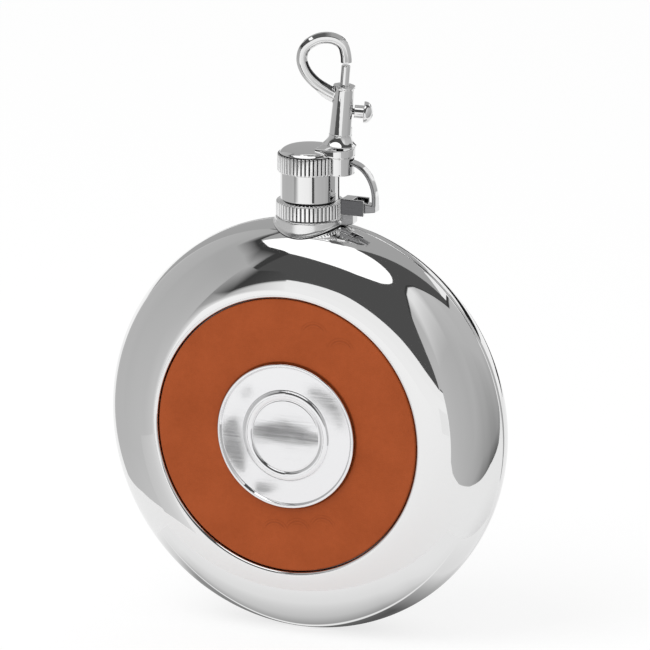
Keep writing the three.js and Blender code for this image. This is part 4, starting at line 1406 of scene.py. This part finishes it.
# A dark clamp near the hook, wider towards its foot
table_board("hook_clamp", [
    [(-38, 28, 103, ROOM_SHADE), (-35.5, 33.6, 116, ROOM_SHADE)],
    [(-3, 56, 103, ROOM_SHADE), (-20, 49, 116, ROOM_SHADE)],
])

# A bright card over the cap, which the dome's shoulder mirrors
CROWN_CARD_HEIGHT = 171
CROWN_CARD_SHADE = 1.3
CROWN_CARD = [(-22, -8, -4), (-14, -17, 2), (0, -20, 6), (10, -17, 4), (16, -8, -3)]

# A dim shield close over the hook's loop
LOOP_SHIELD_HEIGHT = 143
LOOP_SHIELD = [
    (-8, -3, 2.5, 0.12), (-3.5, -3, 3, 0.12), (-3.1, -4, 9, 0.12), (3, -4, 9, 0.12),
    (6, -4, 9, 0.4), (14, -4, 9, 0.45),
]


def level_board(name, height, columns):
    """A level sheet over the table; a column is (right, low and high end forward, shade)."""
    table_board(name, [[(right, end, height, shade) for end in ends] for right, *ends, shade in columns])


level_board("crown_card", CROWN_CARD_HEIGHT, [(*column, CROWN_CARD_SHADE) for column in CROWN_CARD])
level_board("loop_shield", LOOP_SHIELD_HEIGHT, LOOP_SHIELD)

# The far ground, kept as light as the near one that the lamp reaches
FAR_FLOOR = [(500, 1.02), (11900, 1.0)]
FAR_FLOOR_HEIGHT = 0.5
FAR_FLOOR_SIDES = 48

# A grey strip lying far in front, pale along its edges
STRIP_COLUMNS = [(-14, MIRRORED_LEVEL), (-6, BOARD_GREY), (20, BOARD_GREY), (28, MIRRORED_LEVEL)]
STRIP_ROWS = (440, 455, 520, 535)
CARD_HEIGHT = 1

# Cards that the medallion mirrors: a shade, and (x, low, high) where they show on its face
CARDS = [
    (0.28, [(-8.6, -0.85, 1.3), (-4, -1.3, 2.6), (0, -1.6, 3.4), (4, -1.5, 2.4), (8.6, -1.1, 0.8)]),
    (0.36, [(-15.6, -5.1, 0.5), (-14, -6.6, 2.4), (-12.2, -9, 3.2), (-10.2, -9.6, -5.3)]),
    (0.36, [(5.4, 10.2, 11.5), (8.1, 8.2, 11.3), (11.3, 5.9, 9.8), (13.5, 2.3, 6.6)]),
    (0.45, [(-7.5, -14.3, -11.6), (-5, -13.8, -11.6), (-2.5, -12.8, -12)]),
    (0.4, [(-10.6, 7.8, 9.2), (-8.9, 8.2, 10.2)]),
]

# The shade close under the flask, as its own rim mirrors it
SHADE_ROWS = [
    (-26, MIRRORED_LEVEL), (-16, 0.86), (-9, 0.62), (-5.4, 0.36), (-4.9, 0.95), (-4.2, 0.95), (-3.8, 0.14),
    (0, 0.1), (8, 0.15), (18, 0.3), (30, 0.6), (48, MIRRORED_LEVEL),
]
SHADE_COLUMNS = [(-60, 1.0), (-46, 0.75), (-34, 0.25), (0, 0.0), (22, 0.0), (32, 0.4), (40, 0.85), (60, 1.0)]
SHADE_HEIGHT = 0.05


def far_floor():
    columns = []
    for i in range(FAR_FLOOR_SIDES + 1):
        turn = TAU * i / FAR_FLOOR_SIDES
        across, ahead = math.sin(turn), math.cos(turn)
        columns.append([(r * across, r * ahead, FAR_FLOOR_HEIGHT, shade) for r, shade in FAR_FLOOR])
    table_board("far_floor", columns)


def front_strip():
    columns = []
    for right, middle in STRIP_COLUMNS:
        shades = (MIRRORED_LEVEL, middle, middle, MIRRORED_LEVEL)
        columns.append([(right, forward, CARD_HEIGHT, shade) for forward, shade in zip(STRIP_ROWS, shades)])
    table_board("front_strip", columns)


def mirrored_cards():
    """Lays cards where the flat medallion mirrors them for the camera."""
    face_y = -(LEATHER_FACE + MEDALLION_FIELD)
    for number, (shade, outline) in enumerate(CARDS):
        columns = []
        for x, low, high in outline:
            column = []
            for z in (low, high):
                start = Vector((x, face_y, MIDDLE + z))
                view = camera_place - start
                way = Vector((-view.x, view.y, -view.z))
                column.append(((start + way * ((start.z - CARD_HEIGHT) / view.z)) * MM, shade))
            columns.append(column)
        board(f"card_{number}", columns)


def contact_shade():
    columns = []
    for x, fade in SHADE_COLUMNS:
        column = []
        for y, shade in SHADE_ROWS:
            column.append((Vector((x, y, SHADE_HEIGHT)) * MM, shade + (MIRRORED_LEVEL - shade) * fade))
        columns.append(column)
    board("contact_shade", columns)


far_floor()
front_strip()
mirrored_cards()
contact_shade()

scene = bpy.context.scene
scene.view_settings.view_transform = "Standard"
